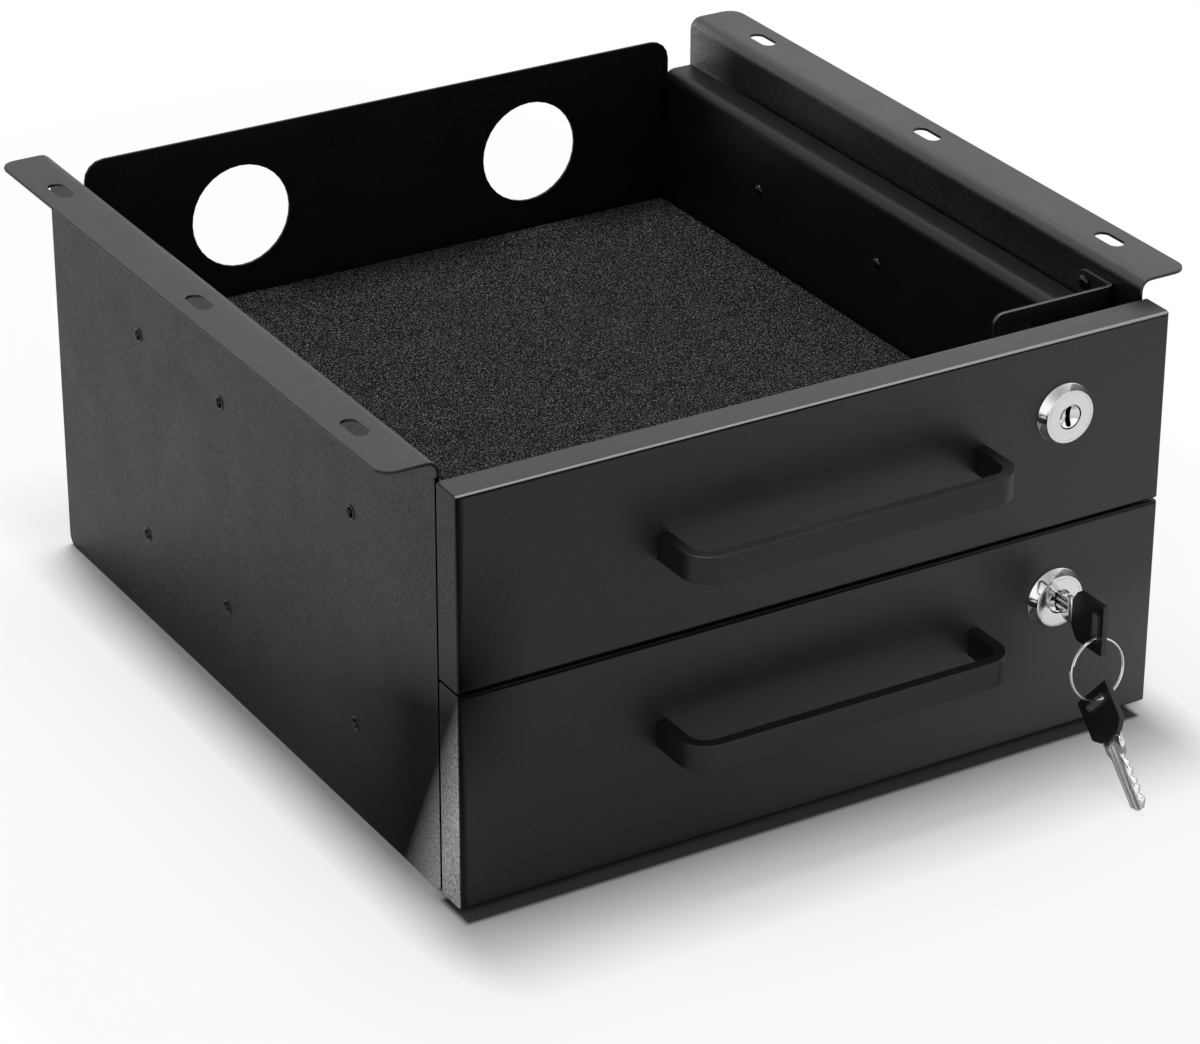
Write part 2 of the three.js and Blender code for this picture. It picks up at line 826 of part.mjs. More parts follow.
function keyBow(name) {
  const half = bowWidth / 2;
  const outline = roundedPoints([
    [0, -half, bowCorner],
    [bowLength, -half, bowCorner],
    [bowTotal, -bowCollar / 2],
    [bowTotal, bowCollar / 2],
    [bowLength, half, bowCorner],
    [0, half, bowCorner],
  ]);
  const turnedSlot = slotPoints([0, bowSlotFromEnd], bowSlotLength, bowSlotWidth, bendSteps);
  const slot = turnedSlot.map(([across, along]) => [along, across]);
  const thick = bowThickness / 2;
  let bow = plate(outline, 'x', -thick, thick, [slot]);
  const pocketHalf = tangHeight / 2 + fit;
  const pocket = rectangle(bowTotal - tangLength - fit, bowTotal + overrun, -pocketHalf, pocketHalf);
  bow = bow.subtract(plate(pocket, 'x', -tangThickness / 2 - fit, tangThickness / 2 + fit));
  return meshOf(name, bow, blackPlastic);
}

function keyBlade(name) {
  const half = bladeHeight / 2;
  const headHalf = bladeHeadHeight / 2;
  const start = bowTotal + fit;
  const headEnd = bowTotal + bladeHeadLength;
  const points = [[start, -headHalf], [headEnd, -headHalf], [headEnd + bladeHeadTaper, -half]];
  for (let cut = bittingCuts - 1; cut >= 0; cut -= 1) {
    const middle = keyTotal - bittingFromTip - bittingPitch * (cut + 1 / 2);
    const depth = cut % 2 === 0 ? bittingDepth : bittingDepth / 2;
    points.push([middle - bittingFlat / 2 - depth, -half]);
    points.push([middle - bittingFlat / 2, depth - half]);
    points.push([middle + bittingFlat / 2, depth - half]);
    points.push([middle + bittingFlat / 2 + depth, -half]);
  }
  points.push([keyTotal - bladeTip, -half], [keyTotal, bladeTip - half]);
  points.push([keyTotal, half - bladeTip], [keyTotal - bladeTip, half]);
  points.push([headEnd + bladeHeadTaper, half], [headEnd, headHalf], [start, headHalf]);
  const thick = bladeThickness / 2;
  let blade = plate(points, 'x', -thick, thick);

  const tang = rectangle(bowTotal - tangLength, start + fit, -tangHeight / 2, tangHeight / 2);
  blade = blade.add(plate(tang, 'x', -tangThickness / 2, tangThickness / 2));
  const fuller = (middle, width) => rectangle(
    bowTotal + fullerSetback,
    keyTotal + overrun,
    middle - width / 2,
    middle + width / 2,
  );
  blade = blade.subtract(plate(fuller(0, fullerWidth), 'x', thick - fullerDepth, thick + overrun));
  blade = blade.subtract(plate(fuller(0, fullerWidth), 'x', -thick - overrun, fullerDepth - thick));
  const sideFuller = fuller(sideFullerOffset, sideFullerWidth);
  blade = blade.subtract(plate(sideFuller, 'x', -thick - overrun, fullerDepth - thick));
  return meshOf(name, blade, nickel);
}

function keyRing() {
  const torus = new THREE.TorusGeometry(ringRadius, ringWire, ringSectionSteps, ringSteps);
  return solidOf(torus.rotateX(Math.PI / 2));
}

function key(name, group) {
  group.add(keyBow(`${name}_key_bow`));
  group.add(keyBlade(`${name}_key_blade`));
  return group;
}

// Assembly

const safe = new THREE.Group();
safe.add(sidePanel('left_side_panel', -1));
safe.add(sidePanel('right_side_panel', 1));
safe.add(bottomPanel());

for (const drawer of drawers) {
  const { name } = drawer;
  safe.add(slideSet(drawer, 'left', -1));
  safe.add(slideSet(drawer, 'right', 1));
  safe.add(catchBracket(drawer));
  safe.add(catchScrew(drawer));
  safe.add(tray(drawer));
  safe.add(backWall(drawer));
  safe.add(mat(drawer));
  safe.add(frontPanel(drawer));
  safe.add(handle(drawer));
  safe.add(handleScrew(drawer, `${name}_handle_screw_left`, -1));
  safe.add(handleScrew(drawer, `${name}_handle_screw_right`, 1));

  const lock = groupAt(lockX, frontFace, drawer.lock);
  lock.add(lockBody(`${name}_lock_body`));
  lock.add(lockNut(`${name}_lock_nut`));
  lock.add(lockPlug(`${name}_lock_plug`));
  lock.add(lockCam(`${name}_lock_cam`));
  lock.add(camScrew(`${name}_cam_screw`));
  safe.add(lock);
}

// The first key stands in the lower lock, the ring hangs in its bow's slot, and the
// second key hangs on the ring with its tip resting on the surface below
const lockZ = drawers[0].lock;
const firstKeyY = frontFace - bezelHeight - keyStandOff - bowTotal;
safe.add(key('first', groupAt(lockX, firstKeyY, lockZ)));

const wireRoom = ringSeat + ringWire;
const hangZ = lockZ - bowSlotLength / 2 + wireRoom;
const ring = meshOf('key_ring', keyRing(), nickel);
ring.rotation.set(-ringTilt, ringSwing, 0, 'YXZ');
const ringMiddle = new THREE.Vector3(0, 0, -ringRadius).applyEuler(ring.rotation);
ringMiddle.add(new THREE.Vector3(lockX, firstKeyY + bowSlotFromEnd, hangZ));
ring.position.copy(ringMiddle);
safe.add(ring);

const ringAxis = new THREE.Vector3(0, 1, 0).applyEuler(ring.rotation);
const lowest = new THREE.Vector3(0, 0, -1).projectOnPlane(ringAxis).setLength(ringRadius);
const pivot = lowest.add(ringMiddle);
const wireY = bowSlotFromEnd - bowSlotWidth / 2 + wireRoom;
const heelAlong = keyTotal - bladeTip - wireY;
const heelAcross = bladeHeight / 2 + wireOffset;
const drop = (pivot.z - tipLift) / Math.cos(keyLean) / Math.hypot(heelAlong, heelAcross);
const tilt = Math.acos(Math.min(1, drop)) + Math.atan2(heelAcross, heelAlong);
const hanger = groupAt(pivot.x, pivot.y, pivot.z);
hanger.rotation.set(-Math.PI / 2 - tilt, keyLean, 0, 'YXZ');
hanger.add(key('second', groupAt(0, -wireY, wireOffset)));
safe.add(hanger);

export default safe;
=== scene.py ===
import json
import math
from contextlib import contextmanager

import bpy
from mathutils import Matrix, Vector

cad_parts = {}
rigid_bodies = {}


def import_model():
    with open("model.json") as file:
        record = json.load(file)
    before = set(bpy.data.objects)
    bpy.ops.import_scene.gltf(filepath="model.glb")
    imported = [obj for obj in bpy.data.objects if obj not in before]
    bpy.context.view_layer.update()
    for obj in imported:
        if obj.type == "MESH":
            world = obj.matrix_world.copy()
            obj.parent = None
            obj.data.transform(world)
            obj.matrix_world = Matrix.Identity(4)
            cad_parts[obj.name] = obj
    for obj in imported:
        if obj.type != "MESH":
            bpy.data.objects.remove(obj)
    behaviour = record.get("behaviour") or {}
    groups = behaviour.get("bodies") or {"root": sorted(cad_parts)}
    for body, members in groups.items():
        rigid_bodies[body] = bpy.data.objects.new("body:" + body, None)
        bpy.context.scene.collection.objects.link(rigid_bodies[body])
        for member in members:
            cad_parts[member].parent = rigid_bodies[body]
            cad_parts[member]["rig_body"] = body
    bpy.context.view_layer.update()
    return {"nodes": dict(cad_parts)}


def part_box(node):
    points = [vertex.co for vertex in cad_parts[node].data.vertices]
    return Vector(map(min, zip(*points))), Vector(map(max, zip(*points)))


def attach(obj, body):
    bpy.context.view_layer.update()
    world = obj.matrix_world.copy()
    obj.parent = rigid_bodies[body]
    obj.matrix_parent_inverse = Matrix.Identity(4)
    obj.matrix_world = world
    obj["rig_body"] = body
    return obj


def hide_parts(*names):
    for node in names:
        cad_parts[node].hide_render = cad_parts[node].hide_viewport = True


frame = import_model()
nodes = frame["nodes"]

bl_info = {
    "name": "Under desk drawer safe",
    "version": (1, 0, 0),
    "blender": (4, 5, 0),
    "location": "View3D > Sidebar > Drawer safe",
    "description": "Finishes and fine pieces of a two drawer safe that hangs under a desk",
    "category": "Object",
}

DRAWERS = ("lower", "upper")
SIDES = (("left", -1), ("right", 1))
FULL_TURN = 2 * math.pi
QUARTER_TURN = math.pi / 2
SAME_PLACE = 1e-6
FLAT_ANGLE = math.radians(0.3)
CLEANING_TURNS = 3
ARC_STEPS = 8


# Sizes and colours that a user may change

def number_prop(name, description, default, **settings):
    return bpy.props.FloatProperty(name=name, description=description, default=default, **settings)


def share_prop(name, description, default):
    return number_prop(name, description, default, min=0, max=1)


def size_prop(name, description, default):
    return number_prop(name, description, default, unit="LENGTH")


def triple_prop(name, description, default, **settings):
    return bpy.props.FloatVectorProperty(
        name=name, description=description, default=default, size=3, **settings)


def tint_prop(name, description, default):
    return triple_prop(name, description, default, min=0, max=1, subtype="COLOR")


def place_prop(name, description, default):
    return triple_prop(name, description, default, subtype="TRANSLATION", unit="LENGTH")


def direction_prop(name, description, default):
    return triple_prop(name, description, default, subtype="DIRECTION")


class PaintSettings(bpy.types.PropertyGroup):
    """Powder coat on the sheet steel"""

    colour: tint_prop("Colour", "Colour of the powder coat", (0.0052, 0.0052, 0.0056))
    # A darker copy of the coat's colour: painted shade for the insides of the drawers.
    painted_shade_inner_colour: tint_prop("Inner colour", "Colour of the coat in the drawers", (0.0012, 0.0012, 0.0013))
    fleck_colour: tint_prop("Fleck colour", "Colour of the coat's light flecks", (0.03, 0.03, 0.031))
    # Colour mixed into the coat where painted reflections and painted highlights are.
    painted_light_colour: tint_prop("Dust colour", "Colour of the pale grain low at the front", (0.78, 0.78, 0.79))
    # Painted reflection: the coat's shine is raised from left to right.
    right_gain: number_prop("Right gain", "How much brighter the coat shines at right than at left", 1.6)
    shine: share_prop("Shine", "Strength of the coat's reflection outside", 0.38)
    # Lower shine inside, which is also painted shade, goes with the darker inner colour.
    inner_shine: share_prop("Inner shine", "Strength of the coat's reflection inside", 0.25)
    roughness: share_prop("Roughness", "Mean roughness of the coat", 0.4)
    grain: size_prop("Grain", "Size of the coat's fine texture", 0.0007)
    blotch: size_prop("Blotch", "Size of the faint rubbed patches", 0.03)
    edge: size_prop("Edge", "Width of the rounded sheet edges", 0.00022)
    front_edge: size_prop("Front edge", "Width of the fronts' rounded bends", 0.0005)


class HandleSettings(bpy.types.PropertyGroup):
    """Bar handles"""

    edge: size_prop("Edge", "Width of the bar's eased edges", 0.00045)


class RivetSettings(bpy.types.PropertyGroup):
    """Rivets in the case and in the drawer walls"""

    rim: size_prop("Rim", "How far a case rivet's rim stands up", 0.0004)
    mouth: size_prop("Mouth", "Radius of a case rivet's funnel at the rim", 0.0019)
    bore: size_prop("Bore", "Radius of a case rivet's hollow", 0.00135)
    depth: size_prop("Depth", "Depth of a case rivet's hollow", 0.0025)
    dome_radius: size_prop("Dome radius", "Radius of a drawer rivet's head", 0.0027)
    dome_height: size_prop("Dome height", "Height of a drawer rivet's head", 0.0011)
    first: size_prop("First", "Drawer rivet nearest the back, on the depth axis", 0.0759)
    spacing: size_prop("Spacing", "Spacing of the drawer rivets", 0.0829)
    mat_gap: size_prop("Mat gap", "Gap between the mat and the wall that the drawer rivets stand on", 0.001)


class MatSettings(bpy.types.PropertyGroup):
    """Felt mats"""

    colour: tint_prop("Colour", "Colour of the felt's ground", (0.0015, 0.0015, 0.002))
    fibre_colour: tint_prop("Fibre colour", "Colour of the light fibres", (0.2, 0.2, 0.212))
    fibre: size_prop("Fibre", "Size of the fibre speckle", 0.00082)
    cell: size_prop("Cell", "Spacing of the felt's surface points", 0.0016)
    nap: size_prop("Nap", "Height of the felt's unevenness", 0.00022)
    corner: size_prop("Corner", "Radius of the mat's corners", 0.003)


class LockSettings(bpy.types.PropertyGroup):
    """Cam locks"""

    colour: tint_prop("Colour", "Colour of the chrome plate", (0.86, 0.865, 0.87))
    face_share: number_prop("Face share", "Radius of the flat face, as a share of the bezel's", 0.876)
    groove_share: number_prop("Groove share", "Radius of the face's groove, as a share of the bezel's", 0.78)
    groove: size_prop("Groove", "Half the width of the face's groove", 0.00024)
    edge: size_prop("Edge", "Width of the bezel's eased edges", 0.00018)
    thread: size_prop("Thread", "Pitch of the barrel's thread ridges", 0.00125)
    thread_depth: size_prop("Thread depth", "Depth of the barrel's thread ridges", 0.0005)
    dish: size_prop("Dish", "Depth of the plug's dished face", 0.0015)
    keyway_width: size_prop("Keyway width", "Width of the keyway", 0.0022)
    keyway_height: size_prop("Keyway height", "Height of the keyway", 0.0079)
    ward: size_prop("Ward", "How far the ward stands into the keyway", 0.00035)


class KeySettings(bpy.types.PropertyGroup):
    """Keys and their ring"""

    bow_colour: tint_prop("Bow colour", "Colour of the keys' plastic bows", (0.0065, 0.0065, 0.007))
    blade_colour: tint_prop("Blade colour", "Colour of the nickel plate", (0.8, 0.79, 0.77))
    corner: size_prop("Corner", "Radius of the bow's corners", 0.0008)
    edge: size_prop("Edge", "Width of the bow's eased edges", 0.0004)
    rim: size_prop("Rim", "Width of the raised rim round the slot", 0.0008)
    rim_height: size_prop("Rim height", "How far the rim stands off the bow", 0.00022)
    ring_turns: number_prop("Ring turns", "Turns of wire in the split ring", 1.97)
    wire: size_prop("Wire", "Radius of the split ring's wire", 0.00034)
    pivot: place_prop("Pivot", "Lowest point of the ring, from which the second key hangs",
                      (0.097553, -0.195461, 0.029473))
    lean: number_prop("Lean", "Second key's turn round the depth axis", math.radians(7.3), subtype="ANGLE")
    hang: number_prop("Hang", "Second key's turn below level", math.radians(50.37), subtype="ANGLE")
    wire_offset: place_prop("Wire offset", "Place of the bow's end in the hanging key's own axes",
                            (0, -0.0039, 0.00143))


class SlideSettings(bpy.types.PropertyGroup):
    """Ball slides"""

    colour: tint_prop("Colour", "Colour of the zinc plate", (0.6, 0.61, 0.63))
    ball: size_prop("Ball", "Radius of the balls", 0.00085)
    ball_spacing: size_prop("Ball spacing", "Spacing of the balls", 0.0105)
    balls: bpy.props.IntProperty(name="Balls", description="Balls in one row", default=12)


class StageSettings(bpy.types.PropertyGroup):
    """Floor, lights and camera"""

    eye: place_prop("Eye", "Place of the camera", (-0.75237, -1.27809, 0.79755))
    forward: direction_prop("Forward", "Direction in which the camera looks", (0.45573, 0.76471, -0.45555))
    up: direction_prop("Up", "Direction that is up in the picture", (0.23063, 0.39286, 0.89021))
    lens: number_prop("Lens", "Focal length of the camera in millimetres", 133.43)
    floor_colour: tint_prop("Floor colour", "Colour of the floor", (0.93, 0.93, 0.945))
    room_light: number_prop("Room light", "Strength of the even light from all sides", 0.5)
    room_shine: number_prop("Room shine", "Brightness of the room where it is seen or reflected", 1.13)
    room_top: number_prop("Room top", "Brightness straight up, as a share of that at eye level", 0.4)
    paler_by: number_prop("Paler by", "Share of white that the seen floor gains round the safe", 0.8)
    paler_from: size_prop("Paler from", "Distance from the safe at which the floor starts to pale", 0.003)
    paler_to: size_prop("Paler to", "Distance from the safe at which it stops paling", 0.06)
    side_share: number_prop("Side share", "How much faster the floor pales at the sides than in front", 2.5)
    shadow_lean: size_prop("Shadow lean", "How far the dark floor lies left of the safe's middle", 0.006)
    white_from: size_prop("White from", "Distance from the safe at which the floor starts to whiten", 0.15)
    white_to: size_prop("White to", "Distance from the safe at which the floor is white", 0.4)
    # The strip settings place the painted shadow on the floor before the fronts.
    strip_reach: size_prop("Strip reach", "How far the dark strip of floor reaches before the fronts", 0.005)
    strip_short: size_prop("Strip short", "How far the dark strip ends before the fronts' right edge", 0.008)
    strip_fade: size_prop("Strip fade", "Width over which the dark strip fades", 0.0022)
    strip_share: number_prop("Strip share", "Lightness of the dark strip, as a share of the floor's", 0.1)
    key_light: number_prop("Key light", "Power of the large lamp above the back", 19, unit="POWER")
    key_place: place_prop("Key place", "Place of the large lamp", (0.08, 0.42, 1.7))


# Object and mesh steps

def none_selected():
    bpy.ops.object.select_all(action="DESELECT")


def only(piece):
    none_selected()
    piece.select_set(True)
    bpy.context.view_layer.objects.active = piece


@contextmanager
def editing(piece, kind="VERT"):
    only(piece)
    bpy.ops.object.mode_set(mode="EDIT")
    bpy.ops.mesh.select_mode(type=kind)
    yield
    bpy.ops.object.mode_set(mode="OBJECT")


def pick_all():
    bpy.ops.mesh.select_all(action="SELECT")


def face_outwards():
    pick_all()
    bpy.ops.mesh.normals_make_consistent(inside=False)


def pick(piece, kind, wanted):
    """Selects the vertices, edges or faces of the piece in edit mode that pass a test."""
    bpy.ops.mesh.select_mode(type=kind)
    bpy.ops.mesh.select_all(action="DESELECT")
    bpy.ops.object.mode_set(mode="OBJECT")
    mesh = piece.data
    parts = {"VERT": mesh.vertices, "EDGE": mesh.edges, "FACE": mesh.polygons}[kind]
    for part in parts:
        part.select = bool(wanted(part))
    bpy.ops.object.mode_set(mode="EDIT")


def pick_along(piece, axis, least):
    """Selects the edges that run further than the least length along an axis."""
    points = piece.data.vertices
    pick(piece, "EDGE", lambda edge: abs(
        points[edge.vertices[0]].co[axis] - points[edge.vertices[1]].co[axis]) > least)


def settle(piece):
    only(piece)
    bpy.ops.object.transform_apply(location=True, rotation=True, scale=True)


def modify(piece, kind, **settings):
    modifier = piece.modifiers.new(kind.title(), kind)
    for name, value in settings.items():
        setattr(modifier, name, value)
    return modifier


def modify_now(piece, kind, **settings):
    modifier = modify(piece, kind, **settings)
    only(piece)
    bpy.ops.object.modifier_apply(modifier=modifier.name)


def cut(piece, cutter, operation="DIFFERENCE"):
    modify_now(piece, "BOOLEAN", object=cutter, operation=operation, solver="EXACT")
    bpy.data.objects.remove(cutter)


def join(pieces):
    only(pieces[0])
    for piece in pieces:
        piece.select_set(True)
    bpy.ops.object.join()
    return pieces[0]


def duplicate(piece, name, move):
    copy = piece.copy()
    copy.data = piece.data.copy()
    copy.name = name
    bpy.context.scene.collection.objects.link(copy)
    copy.matrix_world = move
    settle(copy)
    return copy


def block(name, low, high):
    """A box between two corners, to be shaped further."""
    low = Vector(low)
    high = Vector(high)
    none_selected()
    bpy.ops.mesh.primitive_cube_add(size=1, location=(low + high) / 2)
    piece = bpy.context.object
    piece.name = name
    piece.scale = high - low
    settle(piece)
    return piece


def traced(name, points):
    """A chain of edges through the points, drawn by extruding its first one."""
    none_selected()
    bpy.ops.mesh.primitive_plane_add(size=1)
    piece = bpy.context.object
    piece.name = name
    with editing(piece):
        pick_all()
        bpy.ops.mesh.merge(type="CENTER")
        bpy.ops.transform.translate(value=points[0])
        for before, after in zip(points, points[1:]):
            step = Vector(after) - Vector(before)
            bpy.ops.mesh.extrude_region_move(TRANSFORM_OT_translate={"value": step})
    return piece


def turned(name, profile, origin, axis, steps=64):
    """Spins a profile of radius and height pairs, and lays its height along the axis."""
    piece = traced(name, [(radius, 0, height) for radius, height in profile])
    with editing(piece):
        pick_all()
        bpy.ops.mesh.spin(steps=steps, angle=FULL_TURN, center=(0, 0, 0), axis=(0, 0, 1))
        pick_all()
        bpy.ops.mesh.remove_doubles(threshold=SAME_PLACE)
        face_outwards()
    turn = Vector((0, 0, 1)).rotation_difference(Vector(axis)).to_matrix().to_4x4()
    piece.matrix_world = Matrix.Translation(origin) @ turn
    settle(piece)
    return piece


def outlined(name, points, thickness, corner=0, corner_steps=4):
    """A flat piece from an outline of Y and Z points, centred on X, with rounded corners."""
    half = thickness / 2
    loop = [(-half, y, z) for y, z in points]
    piece = traced(name, loop)
    with editing(piece):
        pick_all()
        bpy.ops.mesh.edge_face_add()
        bpy.ops.mesh.extrude_region_move(TRANSFORM_OT_translate={"value": (thickness, 0, 0)})
        face_outwards()
    if corner:
        with editing(piece):
            pick_along(piece, 0, half)
            bpy.ops.mesh.bevel(offset=corner, segments=corner_steps, affect="EDGES", clamp_overlap=True)
    return piece


def smooth(piece, degrees):
    only(piece)
    bpy.ops.object.shade_smooth_by_angle(angle=math.radians(degrees))


def rounded(piece, width, segments, degrees, weight, clamp=False, slide=True):
    """Rounds the sharp edges and shades the piece so that its flats stay flat."""
    modify(piece, "BEVEL", width=width, segments=segments, limit_method="ANGLE",
           angle_limit=math.radians(degrees), use_clamp_overlap=clamp, loop_slide=slide)
    for face in piece.data.polygons:
        face.use_smooth = True
    modify(piece, "WEIGHTED_NORMAL", weight=weight)


def coated(piece, material):
    piece.data.materials.clear()
    piece.data.materials.append(material)


def dressed(name, material, edge, segments=2):
    """Gives a carried-over solid its finish and rounded edges."""
    node = nodes[name]
    coated(node, material)
    modify(node, "WELD", merge_threshold=SAME_PLACE)
    for turn in range(CLEANING_TURNS):
        modify(node, "DECIMATE", decimate_type="DISSOLVE", angle_limit=FLAT_ANGLE)
        modify(node, "TRIANGULATE", ngon_method="BEAUTY", quad_method="BEAUTY")
    rounded(node, edge, segments, degrees=40, weight=100, slide=False)


def stands_for(piece, node_name, material):
    coated(piece, material)
    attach(piece, nodes[node_name]["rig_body"])
    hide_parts(node_name)


def middle_of(name):
    low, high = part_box(name)
    return (low + high) / 2


# Finishes

def scaled(colour, share):
    return tuple(channel * share for channel in colour)


class Nodes:
    """Short ways to add nodes to a node tree."""

    def __init__(self, tree):
        self.tree = tree

    def node(self, kind, inputs, **settings):
        made = self.tree.nodes.new(kind)
        for name, value in settings.items():
            setattr(made, name, value)
        for name, value in inputs.items():
            self.set(made.inputs[name], value)
        return made

    def set(self, socket, value):
        if isinstance(value, bpy.types.NodeSocket):
            self.tree.links.new(value, socket)
        else:
            socket.default_value = value

    def place(self, offset=(0, 0, 0), scale=(1, 1, 1)):
        read = self.node("ShaderNodeTexCoord", {})
        moved = self.node("ShaderNodeMapping", {"Vector": read.outputs["Object"], "Location": offset,
                                                "Scale": scale})
        return moved.outputs["Vector"]

    def parts(self, vector):
        return self.node("ShaderNodeSeparateXYZ", {"Vector": vector}).outputs

    def noise(self, place, size, detail=2.0, roughness=0.5, distortion=0.0):
        inputs = {"Vector": place, "Scale": 1 / size, "Detail": detail, "Roughness": roughness,
                  "Distortion": distortion}
        return self.node("ShaderNodeTexNoise", inputs).outputs["Fac"]

    def spread(self, value, low, high, to_low, to_high):
        inputs = {"Value": value, "From Min": low, "From Max": high, "To Min": to_low, "To Max": to_high}
        return self.node("ShaderNodeMapRange", inputs).outputs["Result"]

    def math(self, operation, first, second=0):
        return self.node("ShaderNodeMath", {0: first, 1: second}, operation=operation).outputs[0]

    def rise(self, value, low, high, top=1):
        return self.spread(value, low, high, 0, top)

    def fall(self, value, low, high):
        return self.spread(value, low, high, 1, 0)

    def times(self, first, *others):
        for other in others:
            first = self.math("MULTIPLY", first, other)
        return first

    def most(self, first, *others):
        for other in others:
            first = self.math("MAXIMUM", first, other)
        return first

    def without(self, value, taken):
        """The value where the taken one is nought, and nought where that is one."""
        return self.times(value, self.fall(taken, 0, 1))

    def sloped(self, spot, slope):
        """Height above a plane through the origin that sinks towards the back."""
        return self.math("ADD", self.times(spot["Y"], slope), spot["Z"])

    def facing(self):
        return self.parts(self.node("ShaderNodeNewGeometry", {}).outputs["Normal"])

    def vector(self, operation, *values):
        return self.node("ShaderNodeVectorMath", dict(enumerate(values)), operation=operation).outputs

    def mix(self, factor, first, second):
        made = self.node("ShaderNodeMix", {}, data_type="RGBA")
        self.set(made.inputs["Factor"], factor)
        for index, value in ((6, first), (7, second)):
            self.set(made.inputs[index], value if isinstance(value, bpy.types.NodeSocket) else (*value, 1))
        return made.outputs[2]

    def bump(self, height, strength, distance, under=None):
        inputs = {"Height": height, "Strength": strength, "Distance": distance}
        if under is not None:
            inputs["Normal"] = under
        return self.node("ShaderNodeBump", inputs).outputs["Normal"]


class Finish(Nodes):
    """One node material with its shader."""

    noise_range = (0.3, 0.7)

    def __init__(self, name, roughness=0.5, metallic=0.0):
        self.material = bpy.data.materials.new(name)
        self.material.use_nodes = True
        super().__init__(self.material.node_tree)
        self.shader = self.tree.nodes["Principled BSDF"]
        self.shade("Metallic", metallic)
        self.shade("Roughness", roughness)

    def shade(self, name, value):
        self.set(self.shader.inputs[name], value)

    def rough(self, noise, least, most):
        self.shade("Roughness", self.spread(noise, *self.noise_range, least, most))

    def varied(self, factor, colour, low_share=1, high_share=1):
        """The colour times a share that goes with the factor from the low to the high one."""
        return self.mix(factor, scaled(colour, low_share), scaled(colour, high_share))


class PaintedLightAndWear:
    """Where the coat's painted light and wear start and end, in metres or as parts of a normal, and how
    strong they are.
    """

    # End faces: the steep line bounds the painted reflection, the slight line and the depth range the
    # painted shade, and worn the wear.
    end_face = (0.13, 0.14)
    sideways = (0.9, 0.99)
    steep_slope = 2
    steep = (-0.244, -0.29)
    slight_slope = 0.31
    slight = (0.06, 0.024)
    band_depth = (-0.02, -0.13)
    band_share = 0.9
    worn_size = 0.0011
    worn = (0.35, 0.65)
    worn_share = 0.55
    # Painted shade line on the case's front edges, and painted reflection at the back end inside the right
    # panel.
    case_edge = (-0.1482, -0.1487)
    case_top = (0.158, 0.157)
    inwards = (-0.5, -0.95)
    painted_rear_sheen = (0.118, 0.15)
    rear_height = (0.08, 0.15)
    rear_share = 0.34
    # Painted shade on the fronts: round the seam's left end, along the left edge and on the rounded edges.
    ahead = (-0.1, -0.6)
    seam = 0.088
    seam_reach = 0.05
    seam_share = 0.95
    seam_end = (-0.115, -0.142)
    strip = (-0.1395, -0.141)
    strip_share = 0.7
    bend_start = (-0.995, -0.96)
    bend_end = (-0.7, -0.55)
    bend_share = 0.9
    bend_side = (0.3, 0.1)
    # Painted highlights on the upper front's top rounded edge and low at the front, and the grain of the
    # painted reflection.
    top_start = (-0.75, -0.6)
    top_end = (-0.3, -0.1)
    top_share = 0.45
    upwards = (0.3, 0.6)
    top_height = (0.12, 0.13)
    low_side = (-0.05, 0.14)
    low_shares = (0.02, 0.11)
    low_height = (0.06, 0.005)
    grain = (0.38, 0.64)
    grain_shares = (0.3, 0.95)
    # Where the painted reflection raises the coat's shine towards the right.
    gain_side = (-0.12, 0.12)


class Coat:
    """How the powder coat's patches, flecks and orange peel vary."""

    patches = (0.35, 0.7)
    patch_shares = (0.86, 1.22)
    flecks = (0.55, 0.75)
    fleck_share = 0.5
    peel_share = 5
    smoother = 0.04
    rougher = 0.06


def powder_coat(name, colour, settings, shine, painted_light_and_wear=None):
    """Satin powder coat: fine orange peel, rubbed patches, light flecks, and any painted light and wear that
    it is given.
    """
    made = Finish(name)
    place = made.place()
    patches = made.noise(place, settings.blotch, detail=6, roughness=0.7, distortion=0.5)
    grain = made.noise(place, settings.grain, detail=2, roughness=0.6)
    peel = made.noise(place, settings.grain * Coat.peel_share, detail=1)
    ground = made.varied(made.rise(patches, *Coat.patches), colour, *Coat.patch_shares)
    colour = made.mix(made.rise(grain, *Coat.flecks, Coat.fleck_share), ground, settings.fleck_colour)
    if painted_light_and_wear:
        # Painted shade darkens the coat towards black and takes away its shine; grainy painted reflections
        # and painted highlights mix in the light colour.
        spot = made.parts(place)
        painted_reflection, painted_shade_and_wear, painted_highlight = painted_light_and_wear(made, spot)
        grains = made.spread(grain, *PaintedLightAndWear.grain, *PaintedLightAndWear.grain_shares)
        colour = made.mix(painted_shade_and_wear, colour, (0, 0, 0))
        painted_light = made.most(made.times(painted_reflection, grains), painted_highlight)
        colour = made.mix(painted_light, colour, settings.painted_light_colour)
        # Painted reflection: the shine rises towards the right, and painted shade takes it away.
        painted_right_shine = made.spread(spot["X"], *PaintedLightAndWear.gain_side, shine, shine * settings.right_gain)
        shine = made.without(painted_right_shine, painted_shade_and_wear)
    made.shade("Base Color", colour)
    made.rough(patches, settings.roughness - Coat.smoother, settings.roughness + Coat.rougher)
    soft = made.bump(peel, strength=0.05, distance=0.00012)
    made.shade("Normal", made.bump(grain, strength=0.1, distance=0.00005, under=soft))
    made.shade("Specular IOR Level", shine)
    return made.material


